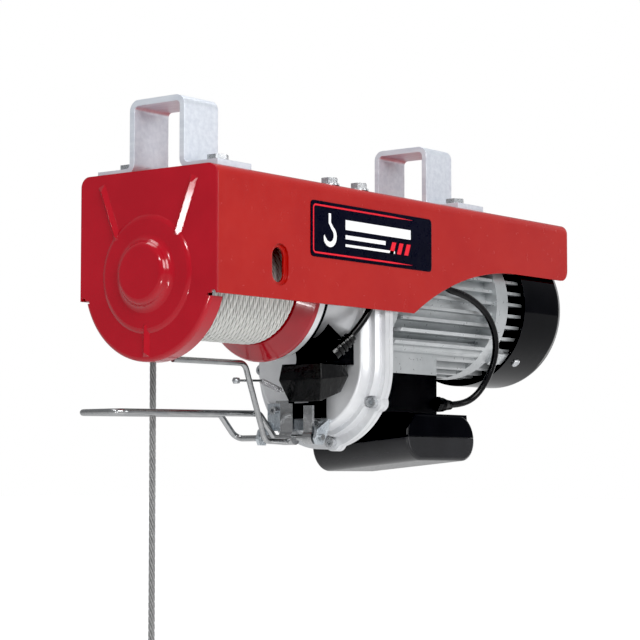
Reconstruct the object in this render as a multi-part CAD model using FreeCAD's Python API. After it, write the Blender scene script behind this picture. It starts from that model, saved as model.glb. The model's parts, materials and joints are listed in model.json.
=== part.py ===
import FreeCAD
import Part
import math
import os

# Electric wire-rope hoist that hangs under a square beam in two clamp straps.
# Row frame, millimetres: +X from the rope drum to the motor, +Z up, -Y is the labelled side.
# Origin: centre of the front strap's seat, the face that rests on top of the beam.

V = FreeCAD.Vector

# ---------------------------------------------------------------- driving dimensions
BEAM = 40.0                 # square beam that the straps go over
FACE_X = -32.0              # outer face of the drum end cover
LENGTH = 533.0              # housing length
HALF_WIDTH = 74.5           # half the housing width
TOP_Z = -56.5               # top of the housing, below the beam top
SHEET = 2.0                 # housing sheet thickness
TOP_BEND = 9.0              # outer bend radius of the housing's long top edges
SIDE_Z = -160.5             # lower edge of the sides beside the drum
TAIL_Z = -112.5             # lower edge of the sides beside the fan
ARCH_START = 238.0          # the arched lower edge starts here ...
ARCH_END = 408.0            # ... and runs out here
AXIS_Z = -141.5             # common axis of drum and motor
SKIRT_R = 71.5              # lower half of the end cover
SKIRT_DEPTH = 15.0

STRAP_WIDTH = 42.0
STRAP_T = 5.0
STRAP_GAP = BEAM / 2 + 5.0  # half the clear width inside a strap
STRAP_FOOT = 66.0           # outer end of a strap's feet
REAR_STRAP_X = 342.0
CLAMP_BOLT_Y = 48.0
M10_HOLE = 5.5              # clearance hole radius
M8_HOLE = 4.5

ROPE_D = 5.6
BARREL_R = 35.4
WINDING_R = 51.0
WINDING_START = -19.0
WINDING_END = 102.3
DRUM_RIM_R = 65.3
DRUM_RIM_X = 116.2
ROPE_X = 29.0
ROPE_Y = WINDING_R - ROPE_D / 2
WEIGHT_TOP = -516.0
WEIGHT_R = 24.0

SHAFT3_Z = -203.5           # layshaft
CLUSTER_Y = 30.486          # intermediate gear cluster
CLUSTER_Z = -148.367
CASE_FACE_X = 181.0         # front face of the gearbox
SPLIT_X = 204.0             # parting plane of the gearbox
CASE_LEDGE_X = 191.0        # a ledge round the dome, behind the screw heads
CASE_BACK_X = 222.0         # motor face of the gearbox
FLANGE_R = 71.5
FLANGE_Z = -209.5           # centre of the flange's lower arc
FLANGE_T = 5.5
LOBE_Z = -206.0
BRACKET_SCREW_Z = -89.0
BRACKET_SCREW_YS = (-30.0, 30.0)
BEARING_R = 13.0            # outer radius of the layshaft's bearings
HUB_BEARING_R = 26.0        # ... of the drum shaft's
MOTOR_BEARING_R = 16.0      # ... and of the motor's
BORE_FIT = 0.05             # radial play of an outer ring in its seat

PRESSURE_ANGLE = math.radians(20)
BACKLASH = 0.16             # total, on the pitch circle

MOTOR_R = 70.0
MOTOR_SIDE = 64.5           # the side fins are cut off flat here
MOTOR_CORE_R = 57.0
MOTOR_END_X = 380.0
BELL_END_X = 399.0
FIN_PITCH = 10.8
FIN_T = 3.0
COVER_R = 75.5
COVER_X = 420.0
COVER_END_X = 497.0
BOLT_RING = 65.0
BOLT_HEAD_X = 414.0
COVER_SCREW_X = 437.0
QUARTERS = (45, 135, 225, 315)
STATOR_X = (268.0, 340.0)

FOOT_END_X = 315.0
FOOT_Y = 45.0
FOOT_Z = -212.0
CAP_X = (265.0, 375.0)      # capacitor box across the motor, as seen from its end
CAP_Y = (-47.0, 63.0)
CAP_HALF_H = 21.5
CAP_Z = -269.0              # middle of its near end
CAP_TILT = 5.2              # degrees, the far end hangs lower
GLAND_Z = -238.5
GLAND_YS = (-41.0, -8.0, 25.0)
LEAD_R = 3.1

PIVOT_X = 168.0             # both limit levers turn about this line
PIVOT_Z = -271.0
LOOP_WIRE_R = 2.75
BAIL_WIRE_R = 2.5
SWITCH_X = (133.0, 180.7)
SWITCH_Y = (-51.0, -4.5)
ARM_X = (164.0, 166.7)      # both levers' arms, in front of the plungers
STOP_ARM_Y = (-17.0, -7.0)
BAIL_ARM_Y = (5.0, 19.0)
PLUNGER_YS = (-12.0, 13.0)
PLUNGER_Z = PIVOT_Z + 21.0
PLUNGER_R = 2.5
LEVER_SCREW_YS = (-13.0, 36.0)


# ---------------------------------------------------------------- general helpers
def block(x0, x1, y0, y1, z0, z1):
    return Part.makeBox(x1 - x0, y1 - y0, z1 - z0, V(x0, y0, z0))


def rod(start, end, radius):
    axis = V(*end) - V(*start)
    return Part.makeCylinder(radius, axis.Length, V(*start), axis)


def disc(x0, x1, radius, y=0.0, z=AXIS_Z):
    """A cylinder along X."""
    return rod((x0, y, z), (x1, y, z), radius)


def ring(x0, x1, outer, inner, y=0.0, z=AXIS_Z):
    return disc(x0, x1, outer, y, z).cut(disc(x0 - 1, x1 + 1, inner, y, z))


def hexagon(base, axis, across_flats, height):
    """A hexagonal prism that starts at base and grows along axis."""
    direction = V(*axis).normalize()
    side = V(0, 0, 1) if abs(direction.z) < 0.5 else V(1, 0, 0)
    other = direction.cross(side)
    corner = across_flats / math.sqrt(3)
    points = []
    for k in range(7):
        angle = math.radians(60 * k + 30)
        points.append(V(*base) + side * (corner * math.cos(angle)) + other * (corner * math.sin(angle)))
    return Part.Face(Part.makePolygon(points)).extrude(direction * height)


def fuse(shapes):
    first, *others = shapes
    return first.multiFuse(others).removeSplitter() if others else first


def compound(shapes):
    return Part.makeCompound(shapes)


def outline_xz(points, y0, y1):
    """A prism along Y from points (x, z)."""
    wire = Part.makePolygon([V(x, y0, z) for x, z in points + points[:1]])
    return Part.Face(wire).extrude(V(0, y1 - y0, 0))


def revolved(profile, y=0.0, z=AXIS_Z):
    """A solid of revolution about an X axis from points (x, radius)."""
    wire = Part.makePolygon([V(x, y, z + r) for x, r in profile + profile[:1]])
    return Part.Face(wire).revolve(V(0, y, z), V(1, 0, 0), 360)


def bend(before, corner, after, radius):
    """The arc that rounds a corner, as its start, middle and end, and the arc's centre."""
    a = (V(*before) - V(*corner)).normalize()
    b = (V(*after) - V(*corner)).normalize()
    half = a.getAngle(b) / 2
    bisector = (a + b).normalize()
    centre = V(*corner) + bisector * (radius / math.sin(half))
    reach = radius / math.tan(half)
    return V(*corner) + a * reach, centre - bisector * radius, V(*corner) + b * reach, centre


def rounded_path(points, radii):
    """Straight runs through points, joined by tangent arcs; radii holds one radius per inner point."""
    edges = []
    here = V(*points[0])
    for before, corner, after, radius in zip(points, points[1:], points[2:], radii):
        start, middle, end, _ = bend(before, corner, after, radius)
        if (start - here).Length > 1e-6:
            edges.append(Part.LineSegment(here, start).toShape())
        edges.append(Part.Arc(start, middle, end).toShape())
        here = end
    edges.append(Part.LineSegment(here, V(*points[-1])).toShape())
    return Part.Wire(edges)


def bent_wire(points, radii, radius):
    """Round wire of the given radius along a rounded path."""
    path = rounded_path(points, radii)
    start = V(*points[0])
    circle = Part.makeCircle(radius, start, V(*points[1]) - start)
    return path.makePipeShell([Part.Wire([circle])], True, False)


def cord_radii(points):
    """Each arc takes 0.45 of its shorter run."""
    radii = []
    for before, corner, after in zip(points, points[1:], points[2:]):
        a = V(*before) - V(*corner)
        b = V(*after) - V(*corner)
        half_turn = (math.pi - a.getAngle(b)) / 2
        radii.append(0.45 * min(a.Length, b.Length) / math.tan(half_turn))
    return radii


def strip_edge(path, radius, offset):
    """One edge line of a bent strip: the path moved sideways by offset, with round corners."""
    across = V(1, 0, 0)
    edges = []
    here = path[0] + (path[1] - path[0]).normalize().cross(across) * offset
    for before, corner, after in zip(path, path[1:], path[2:]):
        start, middle, end, centre = bend(before, corner, after, radius)
        into = (corner - before).normalize().cross(across) * offset
        out = (after - corner).normalize().cross(across) * offset
        from_centre = (middle - centre).normalize() * offset
        shift = from_centre if into.dot(from_centre) > 0 else from_centre * -1
        edges.append(Part.LineSegment(here, start + into).toShape())
        edges.append(Part.Arc(start + into, middle + shift, end + out).toShape())
        here = end + out
    last = path[-1] + (path[-1] - path[-2]).normalize().cross(across) * offset
    edges.append(Part.LineSegment(here, last).toShape())
    return edges


def bent_strip(points, radius, thickness, x0, x1):
    """Flat strip bent along points (y, z) of its middle plane, between x0 and x1."""
    path = [V(x0, y, z) for y, z in points]
    left = strip_edge(path, radius, thickness / 2)
    right = strip_edge(path, radius, -thickness / 2)
    ends = []
    for first, second in zip((left[0], left[-1]), (right[0], right[-1])):
        near = 0 if first is left[0] else 1
        ends.append(Part.LineSegment(first.Vertexes[near].Point, second.Vertexes[near].Point).toShape())
    wire = Part.Wire(Part.__sortEdges__(left + right + ends))
    return Part.Face(wire).extrude(V(x1 - x0, 0, 0))


def stadium(x, radius, top_z, bottom_z):
    """A closed outline in a plane of constant x: two half circles joined by straight sides."""
    top, bottom = V(x, 0, top_z), V(x, 0, bottom_z)
    side, up = V(0, radius, 0), V(0, 0, radius)
    return Part.Wire([
        Part.Arc(top - side, top + up, top + side).toShape(),
        Part.LineSegment(top + side, bottom + side).toShape(),
        Part.Arc(bottom + side, bottom - up, bottom - side).toShape(),
        Part.LineSegment(bottom - side, top - side).toShape(),
    ])


def stadium_body(x0, radius0, x1, radius1, bottom_z=LOBE_Z):
    wires = [stadium(x0, radius0, AXIS_Z, bottom_z), stadium(x1, radius1, AXIS_Z, bottom_z)]
    return Part.makeLoft(wires, True, True)


def obround(x, z, half_width, half_height, y0, y1):
    """An upright slot shape through Y."""
    reach = half_height - half_width
    shapes = [
        block(x - half_width, x + half_width, y0, y1, z - reach, z + reach),
        rod((x, y0, z + reach), (x, y1, z + reach), half_width),
        rod((x, y0, z - reach), (x, y1, z - reach), half_width),
    ]
    return fuse(shapes)


def socket_screw(x0, y, z, shank_r, shank_length, head_r, head_height):
    """A socket head cap screw along X whose head's underside is at x0; the head is on the -X side."""
    head = disc(x0 - head_height, x0, head_r, y, z)
    socket = hexagon((x0 - head_height - 0.1, y, z), (1, 0, 0), head_r, head_height * 0.6)
    return fuse([head, disc(x0, x0 + shank_length, shank_r, y, z)]).cut(socket)


def ball_bearing(x0, x1, bore_r, outer_r, y=0.0, z=AXIS_Z):
    """Outer ring, inner ring and balls, as separate solids."""
    middle = (bore_r + outer_r) / 2
    ball_r = (outer_r - bore_r) * 0.24
    rings = [
        ring(x0, x1, outer_r, middle + ball_r * 0.72, y, z),
        ring(x0, x1, middle - ball_r * 0.72, bore_r, y, z),
    ]
    groove = Part.makeTorus(middle, ball_r + 0.06, V((x0 + x1) / 2, y, z), V(1, 0, 0))
    rings = [r.cut(groove) for r in rings]
    count = int(2 * math.pi * middle / (ball_r * 2.7))
    for k in range(count):
        angle = 2 * math.pi * k / count
        centre = V((x0 + x1) / 2, y + middle * math.cos(angle), z + middle * math.sin(angle))
        rings.append(Part.makeSphere(ball_r, centre))
    return rings


def involute_gear(x0, x1, teeth, module, centre, phase, addendum, bore_r):
    """A spur gear along X. phase is the angle of one tooth's middle, from +Y towards +Z, in degrees."""
    pitch_r = module * teeth / 2
    base_r = pitch_r * math.cos(PRESSURE_ANGLE)
    tip_r = pitch_r + addendum * module
    root_r = pitch_r - 1.25 * module
    half_tooth = (math.pi * module / 2 - BACKLASH / 2) / 2 / pitch_r
    involute_at_pitch = math.tan(PRESSURE_ANGLE) - PRESSURE_ANGLE

    def half_angle(radius):
        if radius <= base_r:
            return half_tooth + involute_at_pitch
        pressure = math.acos(base_r / radius)
        return half_tooth + involute_at_pitch - (math.tan(pressure) - pressure)

    start_r = max(root_r, base_r)
    flank = [start_r + (tip_r - start_r) * k / 4 for k in range(5)]
    if root_r < base_r:
        flank.insert(0, root_r)
    points = []
    for tooth in range(teeth):
        middle = math.radians(phase) + 2 * math.pi * tooth / teeth
        for radius in flank:
            points.append((radius, middle - half_angle(radius)))
        for radius in reversed(flank):
            points.append((radius, middle + half_angle(radius)))
    y, z = centre
    corners = [V(x0, y + r * math.cos(a), z + r * math.sin(a)) for r, a in points]
    body = Part.Face(Part.makePolygon(corners + corners[:1])).extrude(V(x1 - x0, 0, 0))
    return body.cut(disc(x0 - 1, x1 + 1, bore_r, y, z)) if bore_r else body


# ---------------------------------------------------------------- housing
def side_outline(y0, y1):
    """Everything inside the side's outline, as a prism along Y."""
    rear = FACE_X + LENGTH
    corner = 11.0
    arch_r = ((ARCH_END - ARCH_START) ** 2 + (SIDE_Z - TAIL_Z) ** 2) / (2 * (TAIL_Z - SIDE_Z))
    middle_x = (ARCH_START + ARCH_END) / 2
    middle_z = TAIL_Z - arch_r + math.sqrt(arch_r ** 2 - (ARCH_END - middle_x) ** 2)
    at = [V(x, y0, z) for x, z in (
        (FACE_X, 0), (rear, 0), (rear, TAIL_Z + corner), (rear - corner, TAIL_Z),
        (ARCH_END, TAIL_Z), (ARCH_START, SIDE_Z), (FACE_X, SIDE_Z),
    )]
    slant = corner * (1 - math.sqrt(0.5))
    wire = Part.Wire([
        Part.LineSegment(at[0], at[1]).toShape(),
        Part.LineSegment(at[1], at[2]).toShape(),
        Part.Arc(at[2], V(rear - slant, y0, TAIL_Z + slant), at[3]).toShape(),
        Part.LineSegment(at[3], at[4]).toShape(),
        Part.Arc(at[4], V(middle_x, y0, middle_z), at[5]).toShape(),
        Part.LineSegment(at[5], at[6]).toShape(),
        Part.LineSegment(at[6], at[0]).toShape(),
    ])
    return Part.Face(wire).extrude(V(0, y1 - y0, 0))


def long_edges_at(shape, z, tolerance=0.01):
    return [
        e for e in shape.Edges
        if abs(e.BoundBox.ZMin - z) < tolerance and abs(e.BoundBox.ZMax - z) < tolerance
        and e.BoundBox.XLength > 100
    ]


def bracket_bolt_places():
    return [(x, y) for x in (133.0, 175.0) for y in (-60.0, 60.0)]


def clamp_bolt_places():
    return [(x, y) for x in (0.0, REAR_STRAP_X) for y in (-CLAMP_BOLT_Y, CLAMP_BOLT_Y)]


def housing_shell():
    start, rear = FACE_X + SHEET, FACE_X + LENGTH
    outer = block(start, rear, -HALF_WIDTH, HALF_WIDTH, -170, TOP_Z)
    outer = outer.makeFillet(TOP_BEND, long_edges_at(outer, TOP_Z))
    inner_y, inner_z = HALF_WIDTH - SHEET, TOP_Z - SHEET
    inner = block(start - 1, rear + 1, -inner_y, inner_y, -180, inner_z)
    inner = inner.makeFillet(TOP_BEND - SHEET, long_edges_at(inner, inner_z))
    shell = outer.cut(inner).common(side_outline(-HALF_WIDTH - 5, HALF_WIDTH + 5))
    for x, y in clamp_bolt_places():
        shell = shell.cut(rod((x, y, TOP_Z - 5), (x, y, TOP_Z + 5), M10_HOLE))
    for x, y in bracket_bolt_places():
        shell = shell.cut(rod((x, y, TOP_Z - 5), (x, y, TOP_Z + 5), M8_HOLE))
    return add_side_slots(shell)


def add_side_slots(shell):
    """An upright slot beside the drum in each side, in a recess pressed inwards."""
    x, z, recess = 48.3, -132.0, 2.6
    for side in (-1, 1):
        near, far = sorted((side * (HALF_WIDTH + 1), side * (HALF_WIDTH - SHEET - 1)))
        shell = shell.cut(obround(x, z, 12.5, 19.0, near, far))
        wall_out, wall_in = side * HALF_WIDTH, side * (HALF_WIDTH - SHEET - recess)
        y0, y1 = sorted((wall_out, wall_in))
        cup = obround(x, z, 12.5, 19.0, y0, y1)
        floor_in = side * (HALF_WIDTH - recess)
        y0, y1 = sorted((wall_out + side, floor_in))
        cup = cup.cut(obround(x, z, 10.8, 17.3, y0, y1))
        y0, y1 = sorted((wall_out + side, wall_in - side))
        cup = cup.cut(obround(x, z, 7.6, 14.4, y0, y1))
        shell = shell.fuse(cup)
    return shell.removeSplitter()


def end_cover_outline(x0, x1, inset=0.0):
    upper = block(x0, x1, -HALF_WIDTH + inset, HALF_WIDTH - inset, SIDE_Z, TOP_Z - inset)
    tops = [
        e for e in upper.Edges
        if e.BoundBox.XLength > 0.9 * (x1 - x0) and abs(e.BoundBox.ZMin - TOP_Z + inset) < 0.01
    ]
    return upper.makeFillet(TOP_BEND - inset, tops)


def rib(y0, z0, y1, z1, width, height):
    """A pressed rib on the end cover, a three-sided ridge from one point to the other."""
    start, end = V(FACE_X, y0, z0), V(FACE_X, y1, z1)
    side = (end - start).normalize().cross(V(1, 0, 0)) * (width / 2)
    apex = (end - start) * 0.12
    base = Part.Face(Part.makePolygon([start - side, start + side, end + side, end - side, start - side]))
    peak_start, peak_end = start + apex + V(-height, 0, 0), end - apex + V(-height, 0, 0)
    corners = [start - side, start + side, end + side, end - side]
    faces = [
        base,
        Part.Face(Part.makePolygon([corners[0], corners[1], peak_start, corners[0]])),
        Part.Face(Part.makePolygon([corners[2], corners[3], peak_end, corners[2]])),
        Part.Face(Part.makePolygon([corners[1], corners[2], peak_end, peak_start, corners[1]])),
        Part.Face(Part.makePolygon([corners[3], corners[0], peak_start, peak_end, corners[3]])),
    ]
    return Part.makeSolid(Part.makeShell(faces))


def cover_emboss():
    """The pressed disc and the boss in its middle, one closed profile turned about the drum's axis."""
    back, face, raised = FACE_X + SHEET, FACE_X, FACE_X - 1.6
    boss, recess = FACE_X - 9.0, FACE_X - 7.0

    def at(x, radius):
        return V(x, 0, AXIS_Z + radius)

    def line(a, b):
        return Part.LineSegment(at(*a), at(*b)).toShape()

    def arc(a, b, c):
        return Part.Arc(at(*a), at(*b), at(*c)).toShape()

    profile = Part.Wire([
        line((back, 20.15), (back, 48.5)),
        line((back, 48.5), (face, 48.5)),
        arc((face, 48.5), (face - 1.1, 46.6), (raised, 44.6)),
        line((raised, 44.6), (raised, 32.0)),
        arc((raised, 32.0), (raised - 1.3, 28.4), (raised - 3.4, 26.4)),
        arc((raised - 3.4, 26.4), (boss + 0.9, 24.0), (boss, 21.0)),
        line((boss, 21.0), (boss, 0.0)),
        line((boss, 0.0), (recess, 0.0)),
        line((recess, 0.0), (recess, 20.15)),
        line((recess, 20.15), (back, 20.15)),
    ])
    return Part.Face(profile).revolve(V(0, 0, AXIS_Z), V(1, 0, 0), 360)


def drum_end_cover():
    back = FACE_X + SHEET
    lower = disc(FACE_X, FACE_X + SKIRT_DEPTH, SKIRT_R)
    front_edge = [e for e in lower.Edges if e.BoundBox.XMax < FACE_X + 0.01]
    lower = lower.makeFillet(3.5, front_edge).cut(disc(back, FACE_X + SKIRT_DEPTH + 1, SKIRT_R - SHEET))
    above = block(FACE_X - 1, FACE_X + 30, -90, 90, SIDE_Z - 2, 0)
    cover = fuse([end_cover_outline(FACE_X, back), lower.cut(above), disc(FACE_X, back, SKIRT_R - 4)])
    cover = cover.cut(disc(FACE_X - 1, back + 1, 20.15))
    ribs = [
        rib(-51, -65.5, -31, -115, 7.5, 3.2),
        rib(51, -65.5, 31, -115, 7.5, 3.2),
        rib(0, -181, 0, -209, 7.5, 3.2),
    ]
    cover = fuse([cover, cover_emboss()] + ribs)
    for side in (-1, 1):
        cover = cover.cut(disc(FACE_X - 10, FACE_X + 40, 2.6, side * (HALF_WIDTH - 3.4), SIDE_Z))
    return cover


def name_plate():
    plate = block(88.0, 264.5, -HALF_WIDTH - 0.5, -HALF_WIDTH - 0.02, -121.5, -74.0)
    corners = [e for e in plate.Edges if e.BoundBox.YLength > 0.4 and e.BoundBox.XLength < 0.01]
    return plate.makeFillet(4.0, corners)


def drum_end_bushing():
    """Plain bearing of the drum's front journal, pressed into the cover's boss."""
    return ring(FACE_X - 6.6, FACE_X + 8.0, 20.1, 10.05)


# ---------------------------------------------------------------- clamps
def clamp_strap(x):
    """A steel strap over the beam, with a foot on each side of it."""
    foot_z = TOP_Z + STRAP_T / 2
    leg_y = STRAP_GAP + STRAP_T / 2
    crown_z = STRAP_T / 2
    path = [
        (-STRAP_FOOT, foot_z), (-leg_y, foot_z), (-leg_y, crown_z),
        (leg_y, crown_z), (leg_y, foot_z), (STRAP_FOOT, foot_z),
    ]
    strap = bent_strip(path, 6.5, STRAP_T, x - STRAP_WIDTH / 2, x + STRAP_WIDTH / 2)
    for y in (-CLAMP_BOLT_Y, CLAMP_BOLT_Y):
        strap = strap.cut(rod((x, y, TOP_Z - 5), (x, y, TOP_Z + 15), M10_HOLE))
    return strap


def clamp_bolts():
    """M10 hexagon bolts, heads up."""
    head_z = TOP_Z + STRAP_T
    bolts = []
    for x, y in clamp_bolt_places():
        head = hexagon((x, y, head_z), (0, 0, 1), 16.0, 6.4)
        bolts.append(fuse([head, rod((x, y, head_z - 22), (x, y, head_z), 5.0)]))
    return compound(bolts)


def clamp_nuts():
    """M10 flange nuts under the housing top."""
    nuts = []
    for x, y in clamp_bolt_places():
        under = TOP_Z - SHEET
        flange = rod((x, y, under - 1.5), (x, y, under), 10.5)
        nut = fuse([flange, hexagon((x, y, under - 10), (0, 0, 1), 16.0, 9.0)])
        nuts.append(nut.cut(rod((x, y, under - 11), (x, y, under + 1), 5.03)))
    return compound(nuts)


# ---------------------------------------------------------------- gearbox castings
def gearbox_screw_places():
    """(y, z) round the flange: its lower arc, its sides and its top arc."""
    ring_r = FLANGE_R - 5.0
    places = []
    for angle in (28, 79, 130, 181):
        a = math.radians(angle)
        places.append((-ring_r * math.cos(a), FLANGE_Z - ring_r * math.sin(a)))
    for angle in (40, 90, 140):
        a = math.radians(angle)
        places.append((ring_r * math.cos(a), AXIS_Z + ring_r * math.sin(a)))
    return places


def flange_plate(x0, x1):
    plate = Part.Face(stadium(x0, FLANGE_R, AXIS_Z, FLANGE_Z)).extrude(V(x1 - x0, 0, 0))
    ears = [disc(x0, x1, 8.0, y, z) for y, z in gearbox_screw_places()[:4]]
    return fuse([plate] + ears).common(block(x0, x1, -72, 72, -300, 0))


def gear_cavity(x0, x1, radius0, radius1):
    return stadium_body(x0, radius0, x1, radius1, SHAFT3_Z)


def nose_cone(grow):
    """The hub that widens from the drum to the gearbox face."""
    return revolved([
        (134.3, 24.0), (134.3 - grow, 40.0 + grow), (CASE_FACE_X, 58.0 + grow), (CASE_FACE_X, 24.0),
    ])


def gearbox_dome():
    """The dome over the gears, its front edge rounded."""
    dome = stadium_body(CASE_FACE_X, 58.0, SPLIT_X - FLANGE_T, 63.5)
    rim = [e for e in dome.Edges if e.BoundBox.XMax < CASE_FACE_X + 0.01]
    return dome.makeFillet(3.0, rim)


def gearbox_front_case():
    case = fuse([
        gearbox_dome(),
        stadium_body(CASE_LEDGE_X, 65.5, SPLIT_X - FLANGE_T, 67.0),
        flange_plate(SPLIT_X - FLANGE_T, SPLIT_X),
        disc(131.0, CASE_FACE_X + 1, 34.0),
        nose_cone(0.0),
        disc(172.0, CASE_FACE_X + 1, 17.0, 0, SHAFT3_Z),
        block(169.0, SPLIT_X - FLANGE_T, -40, 40, -99, -80),
    ])
    case = case.cut(gear_cavity(CASE_FACE_X + 4, SPLIT_X + 0.01, 54.0, 60.5))
    case = case.cut(disc(130.0, 150.0, 22.0))
    case = case.cut(disc(140.0, CASE_FACE_X - 1, HUB_BEARING_R + BORE_FIT))
    case = case.cut(disc(170.0, CASE_FACE_X + 10, 14.5))
    case = case.cut(disc(175.0, CASE_FACE_X + 10, BEARING_R + BORE_FIT, 0, SHAFT3_Z))
    for y in BRACKET_SCREW_YS:
        case = case.cut(disc(160.0, CASE_FACE_X - 1, 3.05, y, BRACKET_SCREW_Z))
    for y, z in gearbox_screw_places():
        case = case.cut(disc(SPLIT_X - 6, SPLIT_X + 1, 3.2, y, z))
        case = case.cut(disc(CASE_FACE_X - 5, SPLIT_X - FLANGE_T, 6.0, y, z))
    for y in LEVER_SCREW_YS:
        case = case.cut(disc(CASE_FACE_X - 1, CASE_FACE_X + 3.5, 2.05, y, bracket_screw_z(y)))
    return case


def gearbox_rear_case():
    case = fuse([
        flange_plate(SPLIT_X + 0.5, SPLIT_X + FLANGE_T),
        stadium_body(SPLIT_X + 5, 64.5, CASE_BACK_X, 62.0),
    ])
    case = case.cut(gear_cavity(SPLIT_X, CASE_BACK_X - 4, 60.5, 58.0))
    boss = disc(CASE_BACK_X - 10, CASE_BACK_X - 3, 17.0, 0, SHAFT3_Z)
    seat = disc(CASE_BACK_X - 4.5, CASE_BACK_X + 9, 20.0)
    axle_boss = disc(CASE_BACK_X - 4.5, CASE_BACK_X, 8.0, CLUSTER_Y, CLUSTER_Z)
    lugs = [disc(CASE_BACK_X - 8, CASE_BACK_X, 7.0, y, z) for y, z in through_bolt_places()]
    case = fuse([case, boss, seat, axle_boss] + lugs)
    case = case.cut(disc(CASE_BACK_X - 11, CASE_BACK_X - 3.8, BEARING_R + BORE_FIT, 0, SHAFT3_Z))
    case = case.cut(disc(CASE_BACK_X - 2, CASE_BACK_X + 10, MOTOR_BEARING_R + BORE_FIT))
    case = case.cut(disc(CASE_BACK_X - 6, CASE_BACK_X, 9.0))
    case = case.cut(disc(CASE_BACK_X - 6, CASE_BACK_X - 1, 4.02, CLUSTER_Y, CLUSTER_Z))
    for y, z in gearbox_screw_places():
        case = case.cut(disc(SPLIT_X, SPLIT_X + 14, 2.6, y, z))
    for y, z in through_bolt_places():
        case = case.cut(disc(CASE_BACK_X - 8, CASE_BACK_X + 1, 2.55, y, z))
    return case


def gearbox_gasket():
    gasket = Part.Face(stadium(SPLIT_X, FLANGE_R - 0.4, AXIS_Z, FLANGE_Z)).extrude(V(0.5, 0, 0))
    inner = Part.Face(stadium(SPLIT_X - 1, 61.0, AXIS_Z, LOBE_Z)).extrude(V(3, 0, 0))
    gasket = gasket.cut(inner)
    for y, z in gearbox_screw_places():
        gasket = gasket.cut(disc(SPLIT_X - 1, SPLIT_X + 1, 3.2, y, z))
    return gasket


def gearbox_screws():
    return compound([
        socket_screw(SPLIT_X - FLANGE_T, y, z, 2.55, 15.0, 4.8, 5.0)
        for y, z in gearbox_screw_places()
    ])


def gearbox_bracket():
    """Angle plate that hangs the gearbox under the housing top."""
    under = TOP_Z - SHEET
    plate = fuse([
        block(122.0, 181.0, -65, 65, under - 3.0, under),
        block(166.0, 169.0, -44, 44, -96, under),
    ])
    for x, y in bracket_bolt_places():
        plate = plate.cut(rod((x, y, under - 5), (x, y, under + 1), M8_HOLE))
    for y in BRACKET_SCREW_YS:
        plate = plate.cut(disc(160, 175, 3.3, y, BRACKET_SCREW_Z))
    return plate.cut(disc(160, 175, 54.5))


def bracket_bolts():
    """M8 flange bolts through the housing top, with their nuts, and two M6 screws into the gearbox."""
    parts = []
    under = TOP_Z - SHEET - 3.0
    for x, y in bracket_bolt_places():
        flange = rod((x, y, TOP_Z), (x, y, TOP_Z + 1.6), 8.6)
        head = hexagon((x, y, TOP_Z + 1), (0, 0, 1), 13.0, 5.6)
        shank = rod((x, y, under - 9), (x, y, TOP_Z + 1), 4.0)
        parts.append(fuse([flange, head, shank]))
        nut = hexagon((x, y, under - 6.5), (0, 0, 1), 13.0, 6.5)
        parts.append(nut.cut(rod((x, y, under - 8), (x, y, under + 1), 4.03)))
    for y in BRACKET_SCREW_YS:
        parts.append(socket_screw(166.0, y, BRACKET_SCREW_Z, 3.0, 12.0, 4.6, 6.0))
    return compound(parts)


def dust_guard():
    """Black plastic disc between the drum and the gearbox, on the case's nose."""
    return ring(125.0, 130.8, 62.5, 24.0).fuse(ring(130.0, 134.0, 37.5, 34.05)).removeSplitter()


def drum_bearings():
    front = ball_bearing(141, 156, 12.55, HUB_BEARING_R)
    rear = ball_bearing(163, 178, 12.55, HUB_BEARING_R)
    return compound(front + rear)


def layshaft_bearings():
    front = ball_bearing(176, 184, 6.05, BEARING_R, 0, SHAFT3_Z)
    rear = ball_bearing(CASE_BACK_X - 11.6, CASE_BACK_X - 4, 6.05, BEARING_R, 0, SHAFT3_Z)
    return compound(front + rear)


def cluster_axle():
    return disc(199.7, CASE_BACK_X - 1.0, 4.0, CLUSTER_Y, CLUSTER_Z)


# ---------------------------------------------------------------- gears and shafts
def towards(centre, other):
    """The angle from one axis to another, in degrees from +Y towards +Z."""
    return math.degrees(math.atan2(other[1] - centre[1], other[0] - centre[0]))


MAIN = (0.0, AXIS_Z)
CLUSTER = (CLUSTER_Y, CLUSTER_Z)
LAYSHAFT = (0.0, SHAFT3_Z)
MOTOR_TEETH, CLUSTER_TEETH = 10, 40
CLUSTER_PINION_TEETH, LAYSHAFT_TEETH = 12, 72
LAYSHAFT_PINION_TEETH, DRUM_TEETH = 12, 50
MOTOR_MODULE, LAYSHAFT_MODULE, DRUM_MODULE = 1.25, 1.5, 2.0


def drum_gear():
    """The last wheel of the train; a tooth gap faces the layshaft."""
    phase = towards(MAIN, LAYSHAFT) + 180.0 / DRUM_TEETH
    return involute_gear(186.0, 198.0, DRUM_TEETH, DRUM_MODULE, MAIN, phase, 0.7, 12.5)


def layshaft():
    phase = towards(LAYSHAFT, MAIN)
    pinion = involute_gear(185.8, 198.4, LAYSHAFT_PINION_TEETH, DRUM_MODULE, LAYSHAFT, phase, 1.0, 0)
    return fuse([disc(176.5, CASE_BACK_X - 4.3, 6.0, 0, SHAFT3_Z), pinion])


def layshaft_gear():
    phase = towards(LAYSHAFT, CLUSTER) + 180.0 / LAYSHAFT_TEETH
    gear = involute_gear(199.5, 207.0, LAYSHAFT_TEETH, LAYSHAFT_MODULE, LAYSHAFT, phase, 0.7, 6.0)
    web = ring(199.4, 201.2, 47.0, 14.0, 0, SHAFT3_Z)
    gear = gear.cut(web).cut(ring(205.3, 207.1, 47.0, 14.0, 0, SHAFT3_Z))
    for k in range(6):
        a = math.radians(60 * k)
        gear = gear.cut(disc(199, 208, 9.0, 30 * math.cos(a), SHAFT3_Z + 30 * math.sin(a)))
    return gear


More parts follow.
